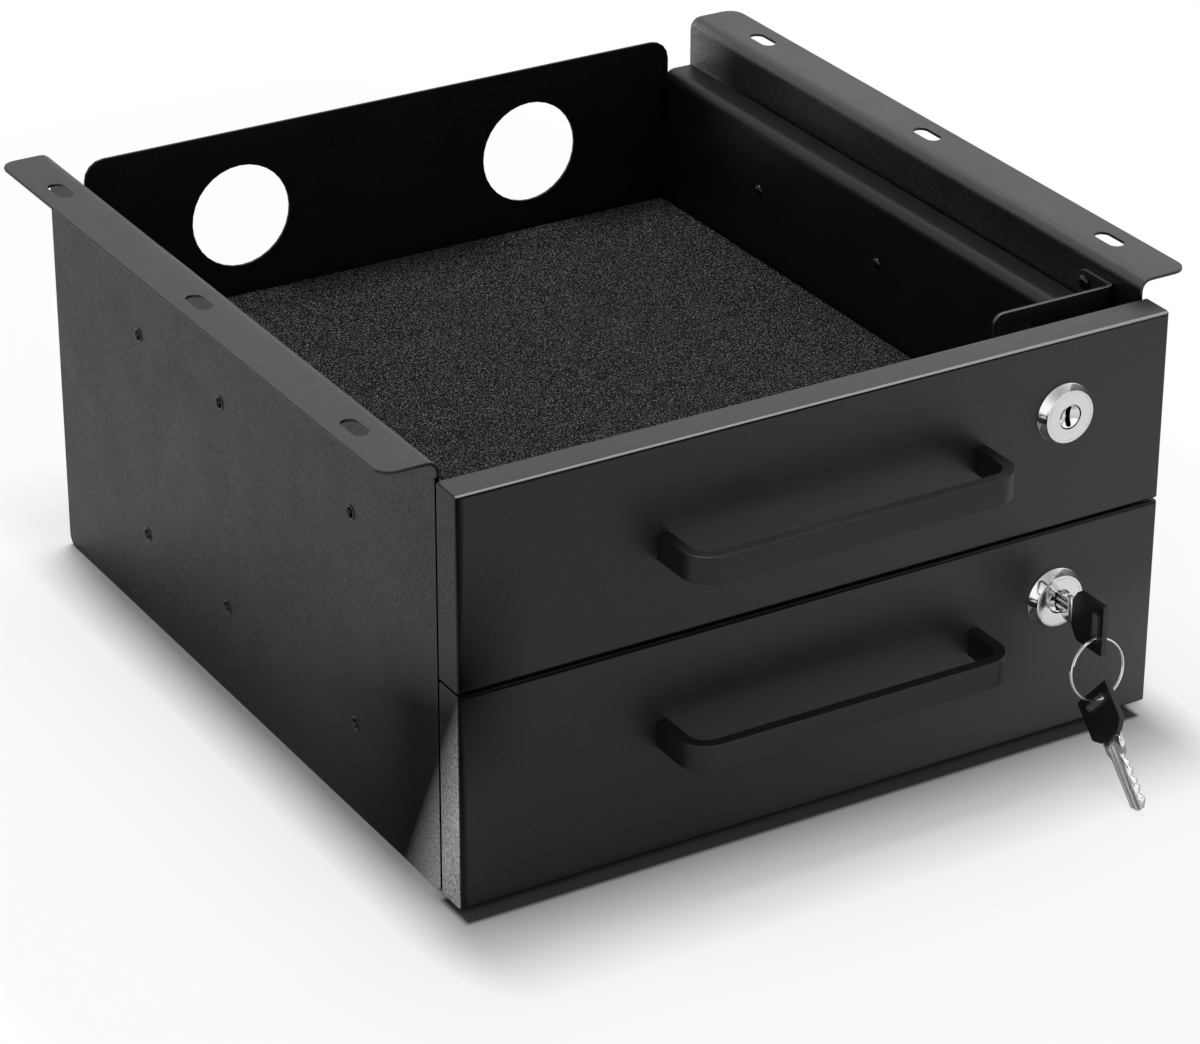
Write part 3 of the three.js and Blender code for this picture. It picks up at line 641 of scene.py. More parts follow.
def end_painted_light_and_wear(made, spot):
    """A grainy painted reflection low at the front, painted shade above it towards the front, and worn coat,
    on the outer end faces.
    """
    outer = made.times(made.rise(made.math("ABSOLUTE", spot["X"]), *PaintedLightAndWear.end_face),
                       made.rise(made.math("ABSOLUTE", made.facing()["X"]), *PaintedLightAndWear.sideways))
    # Painted reflection of the lit floor on the lower front corner of the end faces.
    painted_reflection = made.times(outer, made.rise(made.sloped(spot, PaintedLightAndWear.steep_slope), *PaintedLightAndWear.steep))
    # Painted shade on the end faces towards the front, below a sloping line.
    slight = made.sloped(spot, PaintedLightAndWear.slight_slope)
    painted_band_shade = made.times(made.rise(slight, *PaintedLightAndWear.slight, PaintedLightAndWear.band_share),
                      made.rise(spot["Y"], *PaintedLightAndWear.band_depth))
    wear = made.noise(made.place(), PaintedLightAndWear.worn_size, detail=3, roughness=0.7)
    worn = made.rise(wear, *PaintedLightAndWear.worn, PaintedLightAndWear.worn_share)
    painted_shade_and_wear = made.times(made.most(painted_band_shade, worn), outer)
    return painted_reflection, made.without(painted_shade_and_wear, painted_reflection), 0.0


def case_painted_light_and_wear(made, spot):
    """The end faces' painted light and wear, a painted shade line along the panels' front edges and a
    painted reflection at the back end inside the right panel.
    """
    painted_reflection, painted_shade_and_wear, painted_highlight = end_painted_light_and_wear(made, spot)
    # Painted reflection: a paler back end on the inner face of the right panel.
    painted_rear_sheen = made.times(made.rise(spot["Y"], *PaintedLightAndWear.painted_rear_sheen, PaintedLightAndWear.rear_share),
                      made.rise(spot["X"], *PaintedLightAndWear.end_face),
                      made.rise(made.facing()["X"], *PaintedLightAndWear.inwards),
                      made.rise(spot["Z"], *PaintedLightAndWear.rear_height))
    # Painted shade: a dark line along the front edges, where the gap to the fronts lies in shade.
    line = made.times(made.rise(spot["Y"], *PaintedLightAndWear.case_edge), made.rise(spot["Z"], *PaintedLightAndWear.case_top))
    return made.without(made.most(painted_reflection, painted_rear_sheen), line), made.most(painted_shade_and_wear, line), painted_highlight


def front_painted_light_and_wear(made, spot):
    """The end faces' painted light and wear, painted shade round the seam's left end, along the left edge
    and on the rounded edges, and painted highlights on the upper front's top rounded edge and low at the
    front.
    """
    painted_reflection, painted_shade_and_wear, painted_highlight = end_painted_light_and_wear(made, spot)
    facing = made.facing()
    ahead = made.rise(facing["Y"], *PaintedLightAndWear.ahead)
    # Painted shade round the left end of the seam between the fronts.
    from_seam = made.math("ABSOLUTE", made.math("SUBTRACT", spot["Z"], PaintedLightAndWear.seam))
    painted_seam_shade = made.times(made.spread(from_seam, 0, PaintedLightAndWear.seam_reach, PaintedLightAndWear.seam_share, 0),
                       made.rise(spot["X"], *PaintedLightAndWear.seam_end))
    # Painted shade along the fronts' left edge.
    strip = made.rise(spot["X"], *PaintedLightAndWear.strip, PaintedLightAndWear.strip_share)
    # Painted shade on the rounded edges that turn from the front to the left, top or bottom.
    painted_bend_shade = made.times(made.rise(facing["Y"], *PaintedLightAndWear.bend_start, PaintedLightAndWear.bend_share),
                      made.rise(facing["X"], *PaintedLightAndWear.bend_side),
                      made.fall(facing["Y"], *PaintedLightAndWear.bend_end))
    dark = made.times(made.most(painted_seam_shade, strip, painted_bend_shade), ahead)
    # Painted highlight on the upper front's top rounded edge.
    top = made.times(made.rise(facing["Y"], *PaintedLightAndWear.top_start, PaintedLightAndWear.top_share),
                     made.fall(facing["Y"], *PaintedLightAndWear.top_end),
                     made.rise(facing["Z"], *PaintedLightAndWear.upwards),
                     made.rise(spot["Z"], *PaintedLightAndWear.top_height))
    # Painted highlight low on the lower front, stronger to the right.
    low = made.times(made.spread(spot["X"], *PaintedLightAndWear.low_side, *PaintedLightAndWear.low_shares),
                     made.rise(spot["Z"], *PaintedLightAndWear.low_height), ahead)
    return painted_reflection, made.most(painted_shade_and_wear, dark), made.most(top, low)


def felt(settings):
    """Dense felt: crossed fibres, light speckle and a faint sheen."""
    drawn_share = 1.8
    tuft_share = 8
    made = Finish("Felt", roughness=0.95)
    across = made.noise(made.place(scale=(1, drawn_share, 1)), settings.fibre, detail=1.5)
    along = made.noise(made.place(scale=(drawn_share, 1, 1)), settings.fibre, detail=1.5)
    fibres = made.most(across, along)
    tufts = made.noise(made.place(), settings.fibre * tuft_share, detail=3)
    tufted = made.rise(tufts, low=0.35, high=0.65)
    ground = made.varied(tufted, settings.colour, low_share=0.7, high_share=1.35)
    speckle = made.rise(fibres, low=0.615, high=0.665)
    made.shade("Base Color", made.mix(speckle, ground, settings.fibre_colour))
    made.shade("Sheen Weight", 0.02)
    made.shade("Sheen Roughness", 0.6)
    made.shade("Specular IOR Level", 0.1)
    made.shade("Normal", made.bump(fibres, strength=0.9, distance=0.0006))
    return made.material


def plated(name, colour, roughness, brushed=(1, 1, 1), line=0.0004, depth=0.12):
    """Metal plate with fine lines along the direction that is brushed least."""
    made = Finish(name, metallic=1.0)
    lines = made.noise(made.place(scale=brushed), line, detail=3, roughness=0.6)
    stain = made.noise(made.place(), size=0.012, detail=5, roughness=0.65)
    made.shade("Base Color", made.varied(stain, colour, low_share=0.93))
    made.rough(stain, least=roughness * 0.88, most=roughness * 1.15)
    made.shade("Normal", made.bump(lines, strength=depth, distance=0.00003))
    return made.material


def turned_chrome(name, centre, settings):
    """Polished chrome with the faint rings that turning leaves round the lock's axis."""
    made = Finish(name, roughness=0.1, metallic=1.0)
    place = made.place(offset=(-centre.x, 0, -centre.z), scale=(1, 0, 1))
    radius = made.vector("LENGTH", place)["Value"]
    along = made.node("ShaderNodeCombineXYZ", {"X": radius}).outputs["Vector"]
    rings = made.noise(along, size=0.00025, detail=2)
    haze = made.noise(made.place(), size=0.004, detail=5, roughness=0.7)
    made.shade("Base Color", made.varied(haze, settings.colour, low_share=0.93))
    made.rough(haze, least=0.06, most=0.16)
    made.shade("Normal", made.bump(rings, strength=0.12, distance=0.00002))
    return made.material


def moulded(name, colour, roughness):
    """Moulded plastic with a fine even grain and slightly polished patches."""
    made = Finish(name)
    place = made.place()
    fine = made.noise(place, size=0.0003, detail=2)
    worn = made.noise(place, size=0.006, detail=4, roughness=0.7)
    made.shade("Base Color", made.varied(worn, colour, low_share=0.8, high_share=1.3))
    made.rough(worn, least=roughness - 0.06, most=roughness + 0.08)
    made.shade("Normal", made.bump(fine, strength=0.18, distance=0.00004))
    return made.material


def black_steel(name):
    """Glossy blackened steel with fine scratches."""
    made = Finish(name)
    rubbed = made.noise(made.place(), size=0.002, detail=4, roughness=0.7)
    scratches = made.noise(made.place(scale=(1, 1, 9)), size=0.0006, detail=3)
    bare = made.rise(rubbed, low=0.5, high=0.75)
    made.shade("Base Color", made.varied(bare, (0.001, 0.001, 0.001), high_share=8))
    made.rough(rubbed, least=0.08, most=0.16)
    made.shade("Specular IOR Level", 0.34)
    made.shade("Normal", made.bump(scratches, strength=0.1, distance=0.00002))
    return made.material


# Pieces

class SAFE_OT_case(bpy.types.Operator):
    """Paint the case's sheets and round their edges"""

    bl_idname = "safe.case"
    bl_label = "Case"

    def execute(self, context):
        paint = context.scene.safe_paint
        # The outer coat carries the case's painted reflections and painted shade.
        coat = powder_coat("Outer coat", paint.colour, paint, paint.shine, case_painted_light_and_wear)
        for name in ("left_side_panel", "right_side_panel", "bottom_panel"):
            dressed(name, coat, paint.edge)
        return {"FINISHED"}


class SAFE_OT_drawers(bpy.types.Operator):
    """Paint the drawer boxes, their fronts and their catches"""

    bl_idname = "safe.drawers"
    bl_label = "Drawers"

    def execute(self, context):
        paint = context.scene.safe_paint
        # The front coat carries the fronts' painted shade, painted reflections and painted highlights.
        front_coat = powder_coat("Front coat", paint.colour, paint, paint.shine, front_painted_light_and_wear)
        # The drawers' insides get a darker copy of the coat, as painted shade.
        painted_shade_inner_coat = powder_coat("Inner coat with painted shade", paint.painted_shade_inner_colour, paint, paint.inner_shine)
        for drawer in DRAWERS:
            dressed(f"{drawer}_front", front_coat, paint.front_edge, segments=3)
            dressed(f"{drawer}_catch_bracket", front_coat, paint.edge)
            for part in ("tray", "back_wall"):
                dressed(f"{drawer}_{part}", painted_shade_inner_coat, paint.edge)
        return {"FINISHED"}


class SAFE_OT_handles(bpy.types.Operator):
    """Paint the bar handles and ease their edges"""

    bl_idname = "safe.handles"
    bl_label = "Handles"

    def execute(self, context):
        paint = context.scene.safe_paint
        edge = context.scene.safe_handles.edge
        coat = powder_coat("Handle coat", paint.colour, paint, paint.shine)
        for drawer in DRAWERS:
            dressed(f"{drawer}_handle", coat, edge, segments=3)
        return {"FINISHED"}


class SAFE_OT_rivets(bpy.types.Operator):
    """Turn the case's hollow rivets and the domed rivets in the drawer walls"""

    bl_idname = "safe.rivets"
    bl_label = "Rivets"
    case_rows = (1, 2, 3)
    wall_rivets = 3
    shank_share = 0.53
    funnel_share = 0.25

    def execute(self, context):
        sizes = context.scene.safe_rivets
        steel = black_steel("Rivet steel")
        for drawer in DRAWERS:
            for side_name, side in SIDES:
                for row in self.case_rows:
                    self.hollow(f"{drawer}_{side_name}_slide_rivet_{row}", side, sizes, steel)
                self.domes(drawer, side_name, side, sizes, steel)
        return {"FINISHED"}

    def hollow(self, name, side, sizes, steel):
        low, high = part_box(name)
        radius = (high.y - low.y) / 2
        length = high.x - low.x
        outer = low.x if side < 0 else high.x
        shank = radius * self.shank_share
        funnel = sizes.depth * self.funnel_share
        profile = [(0, sizes.depth), (sizes.bore, sizes.depth), (sizes.bore, funnel)]
        for step in range(ARC_STEPS + 1):
            angle = math.pi * (1 - step / ARC_STEPS)
            across = (radius + sizes.mouth) / 2 + (radius - sizes.mouth) / 2 * math.cos(angle)
            profile.append((across, -sizes.rim * math.sin(angle)))
        profile += [(shank, radius - shank), (shank, length), (0, length)]
        place = (outer, (low.y + high.y) / 2, (low.z + high.z) / 2)
        rivet = turned(name + "_head", profile, place, (-side, 0, 0), steps=32)
        smooth(rivet, degrees=50)
        stands_for(rivet, name, steel)

    def domes(self, drawer, side_name, side, sizes, steel):
        name = f"{drawer}_{side_name}_wall_rivets"
        wall = side * (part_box(f"{drawer}_mat")[1].x + sizes.mat_gap)
        height = middle_of(f"{drawer}_{side_name}_slide_inner").z
        profile = []
        for step in range(ARC_STEPS + 1):
            angle = QUARTER_TURN * step / ARC_STEPS
            profile.append((sizes.dome_radius * math.sin(angle), sizes.dome_height * math.cos(angle)))
        profile.append((0, 0))
        heads = []
        for row in range(self.wall_rivets):
            place = (wall, sizes.first - row * sizes.spacing, height)
            heads.append(turned(f"{name}_{row}", profile, place, (-side, 0, 0), steps=28))
        group = join(heads)
        group.name = name
        smooth(group, degrees=50)
        coated(group, steel)
        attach(group, f"{drawer}_drawer")


class SAFE_OT_mats(bpy.types.Operator):
    """Cut the felt mats and give them an uneven nap"""

    bl_idname = "safe.mats"
    bl_label = "Mats"
    corner_steps = 6
    unevenness_share = 4
    edge_share = 2

    def execute(self, context):
        sizes = context.scene.safe_mats
        cloth = felt(sizes)
        unevenness = bpy.data.textures.new("Felt nap", "CLOUDS")
        unevenness.noise_scale = sizes.cell * self.unevenness_share
        for drawer in DRAWERS:
            name = f"{drawer}_mat"
            low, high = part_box(name)
            span = high - low
            mat = block(name + "_felt", low, high)
            with editing(mat):
                pick_along(mat, 2, span.z / 2)
                bpy.ops.mesh.bevel(offset=sizes.corner, segments=self.corner_steps, affect="EDGES")
            self.gridded(mat, low, high, sizes)
            modify_now(mat, "DISPLACE", texture=unevenness, texture_coords="LOCAL", direction="Z",
                       strength=-sizes.nap, mid_level=0, vertex_group="top")
            mat.vertex_groups.clear()
            rounded(mat, sizes.nap * self.edge_share, segments=2, degrees=60, weight=50)
            stands_for(mat, name, cloth)
        return {"FINISHED"}

    def gridded(self, mat, low, high, sizes):
        """Cuts the mat into cells with parallel cuts both ways, and groups the upper points."""
        with editing(mat):
            for axis, normal in ((0, (1, 0, 0)), (1, (0, 1, 0))):
                count = round((high[axis] - low[axis]) / sizes.cell)
                for step in range(1, count):
                    place = Vector(low)
                    place[axis] = low[axis] + (high[axis] - low[axis]) * step / count
                    pick_all()
                    bpy.ops.mesh.bisect(plane_co=place, plane_no=normal)
        group = mat.vertex_groups.new(name="top")
        middle = (low.z + high.z) / 2
        group.add([v.index for v in mat.data.vertices if v.co.z > middle], 1, "REPLACE")


class SAFE_OT_locks(bpy.types.Operator):
    """Turn the lock bodies and plugs, and finish their nuts and cams"""

    bl_idname = "safe.locks"
    bl_label = "Locks"
    part_edge = 0.0002
    plug_gap = 0.0003
    skirt = 0.004
    seat_step = 0.00015
    barrel_share = 0.796
    slope_share = 0.6
    thread_start = 0.0158
    thread_shares = ((1, 0.4), (1, 0.5), (0, 0.9), (0, 1))
    dish_shares = ((0, 1), (0.45, 0.86), (0.75, 0.42), (0.9, 0.08), (0.96, 0))
    plug_edge = 0.00025
    tail_length = 0.002
    tail_half = 0.0028
    tail_sunk = 0.0002
    keyway_reach = (-0.002, 0.024)
    keyway_round_share = 0.42
    ward_reach = (-0.003, 0.025)
    ward_half = 0.0005

    def execute(self, context):
        sizes = context.scene.safe_locks
        zinc = plated("Lock zinc", context.scene.safe_slides.colour, 0.3)
        for drawer in DRAWERS:
            chrome = turned_chrome(f"{drawer.title()} lock chrome", middle_of(f"{drawer}_lock_body"), sizes)
            self.body(f"{drawer}_lock_body", sizes, chrome)
            self.plug(f"{drawer}_lock_plug", sizes, chrome)
            for part in ("lock_nut", "lock_cam"):
                dressed(f"{drawer}_{part}", zinc, self.part_edge)
        return {"FINISHED"}

    def body(self, name, sizes, chrome):
        low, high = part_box(name)
        plug_low, plug_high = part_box(name.replace("body", "plug"))
        radius = (high.x - low.x) / 2
        bore = (plug_high.x - plug_low.x) / 2 + self.plug_gap
        length = high.y - low.y
        face = radius * sizes.face_share
        groove = radius * sizes.groove_share
        slope = sizes.groove * self.slope_share
        edge = sizes.edge
        eased = edge * self.slope_share
        seat = self.skirt - self.seat_step
        barrel = radius * self.barrel_share
        start = self.skirt + self.thread_start
        profile = [
            (bore, 0),
            (groove - sizes.groove, 0),
            (groove - slope, sizes.groove),
            (groove + slope, sizes.groove),
            (groove + sizes.groove, 0),
            (face - edge * 2, 0),
            (face - eased, eased),
            (face, edge * 2),
            (radius - edge, self.skirt - edge * 3),
            (radius, self.skirt - edge * 2),
            (radius, seat),
            (barrel, seat),
            (barrel, start),
        ]
        for ridge in range(int((length - start) / sizes.thread)):
            at = start + ridge * sizes.thread
            for depth, along in self.thread_shares:
                profile.append((barrel - sizes.thread_depth * depth, at + sizes.thread * along))
        profile += [(barrel - sizes.thread_depth, length), (bore, length), (bore, 0)]
        centre = (low + high) / 2
        lock = turned(name + "_turned", profile, (centre.x, low.y, centre.z), (0, 1, 0), steps=96)
        smooth(lock, degrees=28)
        stands_for(lock, name, chrome)

    def plug(self, name, sizes, chrome):
        low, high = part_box(name)
        centre = (low + high) / 2
        radius = (high.x - low.x) / 2
        shoulder = high.y - low.y - self.tail_length
        profile = [(radius * across, sizes.dish * deep) for across, deep in self.dish_shares]
        profile += [(radius, self.plug_edge), (radius, shoulder), (0, shoulder)]
        front = (centre.x, low.y, centre.z)
        plug = turned(name + "_turned", profile, front, (0, 1, 0))
        cut(plug, self.keyway(front, sizes))
        half = self.tail_half
        tail = block(name + "_tail", (centre.x - half, low.y + shoulder - self.tail_sunk, centre.z - half),
                     (centre.x + half, high.y, centre.z + half))
        cut(plug, tail, "UNION")
        smooth(plug, degrees=28)
        stands_for(plug, name, chrome)

    def bar(self, name, reach, half, width):
        """A flat bar that runs along the depth axis."""
        near, far = reach
        return outlined(name, [(near, -half), (far, -half), (far, half), (near, half)], width)

    def keyway(self, front, sizes):
        half = sizes.keyway_height / 2
        corner = sizes.keyway_width * self.keyway_round_share
        cutter = self.bar("keyway", self.keyway_reach, half, sizes.keyway_width)
        with editing(cutter, "EDGE"):
            pick_along(cutter, 1, half)
            bpy.ops.mesh.bevel(offset=corner, segments=3, affect="EDGES")
        ward = self.bar("ward", self.ward_reach, self.ward_half, sizes.ward * 2)
        ward.location.x = -sizes.keyway_width / 2
        settle(ward)
        cut(cutter, ward)
        cutter.location = front
        settle(cutter)
        return cutter


class SAFE_OT_screws(bpy.types.Operator):
    """Turn the screws and cut the cross recess in each head"""

    bl_idname = "safe.screws"
    bl_label = "Screws"
    handle_screw = (0.0019, 0.0015)
    cam_screw = (0.0016, 0.0013)
    catch_screw = (0.0014, 0.0019)
    head_shares = ((0, 0), (0.55, 0.1), (0.85, 0.34), (1, 0.7), (1, 1))
    tip_shares = (0.6, 0.4)
    recess_reach_share = 0.55
    recess_width_share = 0.14
    recess_depth_share = 0.62

    def execute(self, context):
        zinc = plated("Screw zinc", context.scene.safe_slides.colour, 0.28)
        steel = black_steel("Screw steel")
        for drawer in DRAWERS:
            for side_name, _ in SIDES:
                name = f"{drawer}_handle_screw_{side_name}"
                self.screw(name, (0, -1, 0), self.handle_screw, zinc, "zinc_steel")
            self.screw(f"{drawer}_cam_screw", (0, -1, 0), self.cam_screw, zinc, "zinc_steel")
            self.screw(f"{drawer}_catch_screw", (1, 0, 0), self.catch_screw, steel, "black_steel")
        return {"FINISHED"}

    def screw(self, name, axis, head_and_shank, material, slot):
        """The axis points from the head to the screw's end."""
        low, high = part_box(name)
        head, shank = head_and_shank
        tip_across, tip_along = self.tip_shares
        axis = Vector(axis)
        along = 0 if axis.x else 1
        length = high[along] - low[along]
        radius = (high[1 - along] - low[1 - along]) / 2
        start = (low + high) / 2
        start[along] = low[along] if axis[along] > 0 else high[along]
        profile = [(radius * across, head * deep) for across, deep in self.head_shares]
        profile += [(shank, head), (shank, length - shank * tip_along)]
        profile += [(shank * tip_across, length), (0, length)]
        screw = turned(name + "_turned", profile, start, axis, steps=32)
        for narrow in (1 - along, 2):
            arm = Vector((radius, radius, radius)) * self.recess_reach_share
            arm[narrow] = radius * self.recess_width_share
            arm[along] = head * self.recess_depth_share
            cut(screw, block("recess", start - arm, start + arm))
        smooth(screw, degrees=32)
        stands_for(screw, name, material)


class SAFE_OT_slides(bpy.types.Operator):
    """Finish the slides and fill them with balls in their cages"""

    bl_idname = "safe.slides"
    bl_label = "Ball slides"
    wall = 0.0012
    member_edge = 0.00015
    cage_half = 0.0021
    cage_half_thickness = 0.0002
    cage_beyond = 0.006

    def execute(self, context):
        sizes = context.scene.safe_slides
        zinc = plated("Slide zinc", sizes.colour, 0.3, brushed=(6, 0.25, 6))
        steel = plated("Cage steel", scaled(sizes.colour, 0.8), 0.4)
        for drawer in DRAWERS:
            for side_name, _ in SIDES:
                stem = f"{drawer}_{side_name}_slide"
                for member in ("outer", "middle", "inner"):
                    dressed(f"{stem}_{member}", zinc, self.member_edge)
                self.cage(drawer, stem, sizes, steel)
        return {"FINISHED"}

    def cage(self, drawer, stem, sizes, metal):
        """Four rows of balls, two between the outer and middle members and two inside the middle one."""
        outer, middle, inner = (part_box(f"{stem}_{member}") for member in ("outer", "middle", "inner"))
        depth = (sizes.balls - 1) * sizes.ball_spacing
        start = -depth / 2
        parts = []
        for end, way in ((1, -1), (0, 1)):
            for around, within in ((outer, middle), (middle, inner)):
                left = max(around[0].x, within[0].x)
                right = min(around[1].x, within[1].x)
                x = (left + right) / 2
                z = (around[end].z + way * self.wall + within[end].z) / 2
                strip = block(
                    f"{stem}_strip_{len(parts)}",
                    (x - self.cage_half, start - self.cage_beyond, z - self.cage_half_thickness),
                    (x + self.cage_half, start + depth + self.cage_beyond, z + self.cage_half_thickness))
                none_selected()
                bpy.ops.mesh.primitive_ico_sphere_add(subdivisions=2, radius=sizes.ball,
                                                      location=(x, start, z))
                ball = bpy.context.object
                settle(ball)
                modify_now(ball, "ARRAY", count=sizes.balls, use_relative_offset=False,
                           use_constant_offset=True, constant_offset_displace=(0, sizes.ball_spacing, 0))
                parts += [strip, ball]
        cage = join(parts)
        cage.name = stem + "_ball_cages"
        smooth(cage, degrees=40)
        coated(cage, metal)
        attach(cage, f"{drawer}_slides")


class SAFE_OT_keys(bpy.types.Operator):
    """Mould the key bows round their slots and finish the blades"""

    bl_idname = "safe.keys"
    bl_label = "Keys"
    shoulder = 0.0032
    collar = 0.0052
    slot_half = 0.0057
    slot_width = 0.0032
    slot_middle = 0.0045
    slot_round_share = 0.94
    pocket = (0.00065, 0.00815, 0.00315)
    pocket_beyond = 0.002

    def execute(self, context):
        sizes = context.scene.safe_keys
        plastic = moulded("Bow plastic", sizes.bow_colour, 0.34)
        nickel = plated("Blade nickel", sizes.blade_colour, 0.2, brushed=(1, 1, 1), line=0.0003, depth=0.08)
        bow = self.bow("first_key_bow", sizes)
        twin = duplicate(bow, "second_key_bow_moulded", self.hung_from_ring(sizes))
        for piece, name in ((bow, "first_key_bow"), (twin, "second_key_bow")):
            rounded(piece, sizes.edge, segments=3, degrees=50, weight=50, clamp=True)
            stands_for(piece, name, plastic)
        for name in ("first_key_blade", "second_key_blade"):
            blade = nodes[name]
            coated(blade, nickel)
            modify(blade, "WELD", merge_threshold=SAME_PLACE)
            smooth(blade, degrees=20)
        return {"FINISHED"}

    def hung_from_ring(self, sizes):
        """Takes the first key's place to the second's, which leans from the ring."""
        low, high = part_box("first_key_bow")
        middle = (low + high) / 2
        to_start = Matrix.Translation((-middle.x, -low.y, -middle.z))
        lean = Matrix.Rotation(sizes.lean, 4, "Y")
        hang = Matrix.Rotation(-QUARTER_TURN - sizes.hang, 4, "X")
        offset = Matrix.Translation(sizes.wire_offset)
        return Matrix.Translation(sizes.pivot) @ lean @ hang @ offset @ to_start

    def bow(self, name, sizes):
        low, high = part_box(name)
        centre = (low + high) / 2
        half = (high.z - low.z) / 2
        thick = high.x - low.x
        total = high.y - low.y
        shoulder = total - self.shoulder
        bow = outlined(name + "_moulded", [
            (0, -half), (shoulder, -half), (total, -self.collar),
            (total, self.collar), (shoulder, half), (0, half),
        ], thick, sizes.corner)
        cut(bow, self.slot("rim", sizes.rim, thick + 2 * sizes.rim_height), "UNION")
        cut(bow, self.slot("slot", 0, 2 * thick))
        across, deep, up = self.pocket
        cut(bow, block("pocket", (-across, total - deep, -up), (across, total + self.pocket_beyond, up)))
        bow.location = (centre.x, low.y, centre.z)
        settle(bow)
        return bow

    def slot(self, name, grow, thickness):
        """A rounded bar over the ring's slot, grown all round."""
        reach = self.slot_width / 2 + grow
        y0 = self.slot_middle - self.slot_width / 2 - grow
        y1 = self.slot_middle + self.slot_width / 2 + grow
        z1 = self.slot_half + grow
        return outlined(name, [(y0, -z1), (y1, -z1), (y1, z1), (y0, z1)], thickness,
                        reach * self.slot_round_share, corner_steps=6)


class SAFE_OT_ring(bpy.types.Operator):
    """Wind the split ring from two turns of round wire"""

    bl_idname = "safe.ring"
    bl_label = "Split ring"
    wire_sides = 12
    round_steps = 180
    end_turn = math.radians(170)

    def execute(self, context):
        sizes = context.scene.safe_keys
        points = [vertex.co for vertex in nodes["key_ring"].data.vertices]
        centre = sum(points, Vector()) / len(points)
        axis = self.axis_of(points, centre)
        reach = max((point - centre).length for point in points)
        pitch = 2 * sizes.wire
        height = pitch * sizes.ring_turns
        none_selected()
        bpy.ops.mesh.primitive_circle_add(vertices=self.wire_sides, radius=sizes.wire,
                                          rotation=(QUARTER_TURN, 0, 0), location=(reach - pitch, 0, 0))
        ring = bpy.context.object
        ring.name = "key_ring_wound"
        settle(ring)
        modify_now(ring, "SCREW", angle=FULL_TURN * sizes.ring_turns, steps=self.round_steps,
                   render_steps=self.round_steps, screw_offset=height, iterations=1, axis="Z")
        with editing(ring):
            bpy.ops.mesh.select_all(action="DESELECT")
            bpy.ops.mesh.select_non_manifold()
            bpy.ops.mesh.edge_face_add()
            face_outwards()
        turn = Vector((0, 0, 1)).rotation_difference(axis).to_matrix().to_4x4()
        level = Matrix.Translation((0, 0, -height / 2))
        spin = Matrix.Rotation(self.end_turn, 4, "Z")
        ring.matrix_world = Matrix.Translation(centre) @ turn @ level @ spin
        settle(ring)
        smooth(ring, degrees=50)
        nickel = plated("Ring nickel", sizes.blade_colour, 0.14, line=0.0003, depth=0.06)
        stands_for(ring, "key_ring", nickel)
        return {"FINISHED"}

    def axis_of(self, points, centre):
        """The ring's axis, square to two spokes from its middle."""
        far = max(points, key=lambda point: (point - centre).length)
        spoke = (far - centre).normalized()
        across = max(points, key=lambda point: (point - centre).cross(spoke).length)
        axis = spoke.cross((across - centre).normalized()).normalized()
        return -axis if axis.y > 0 else axis


# Stage

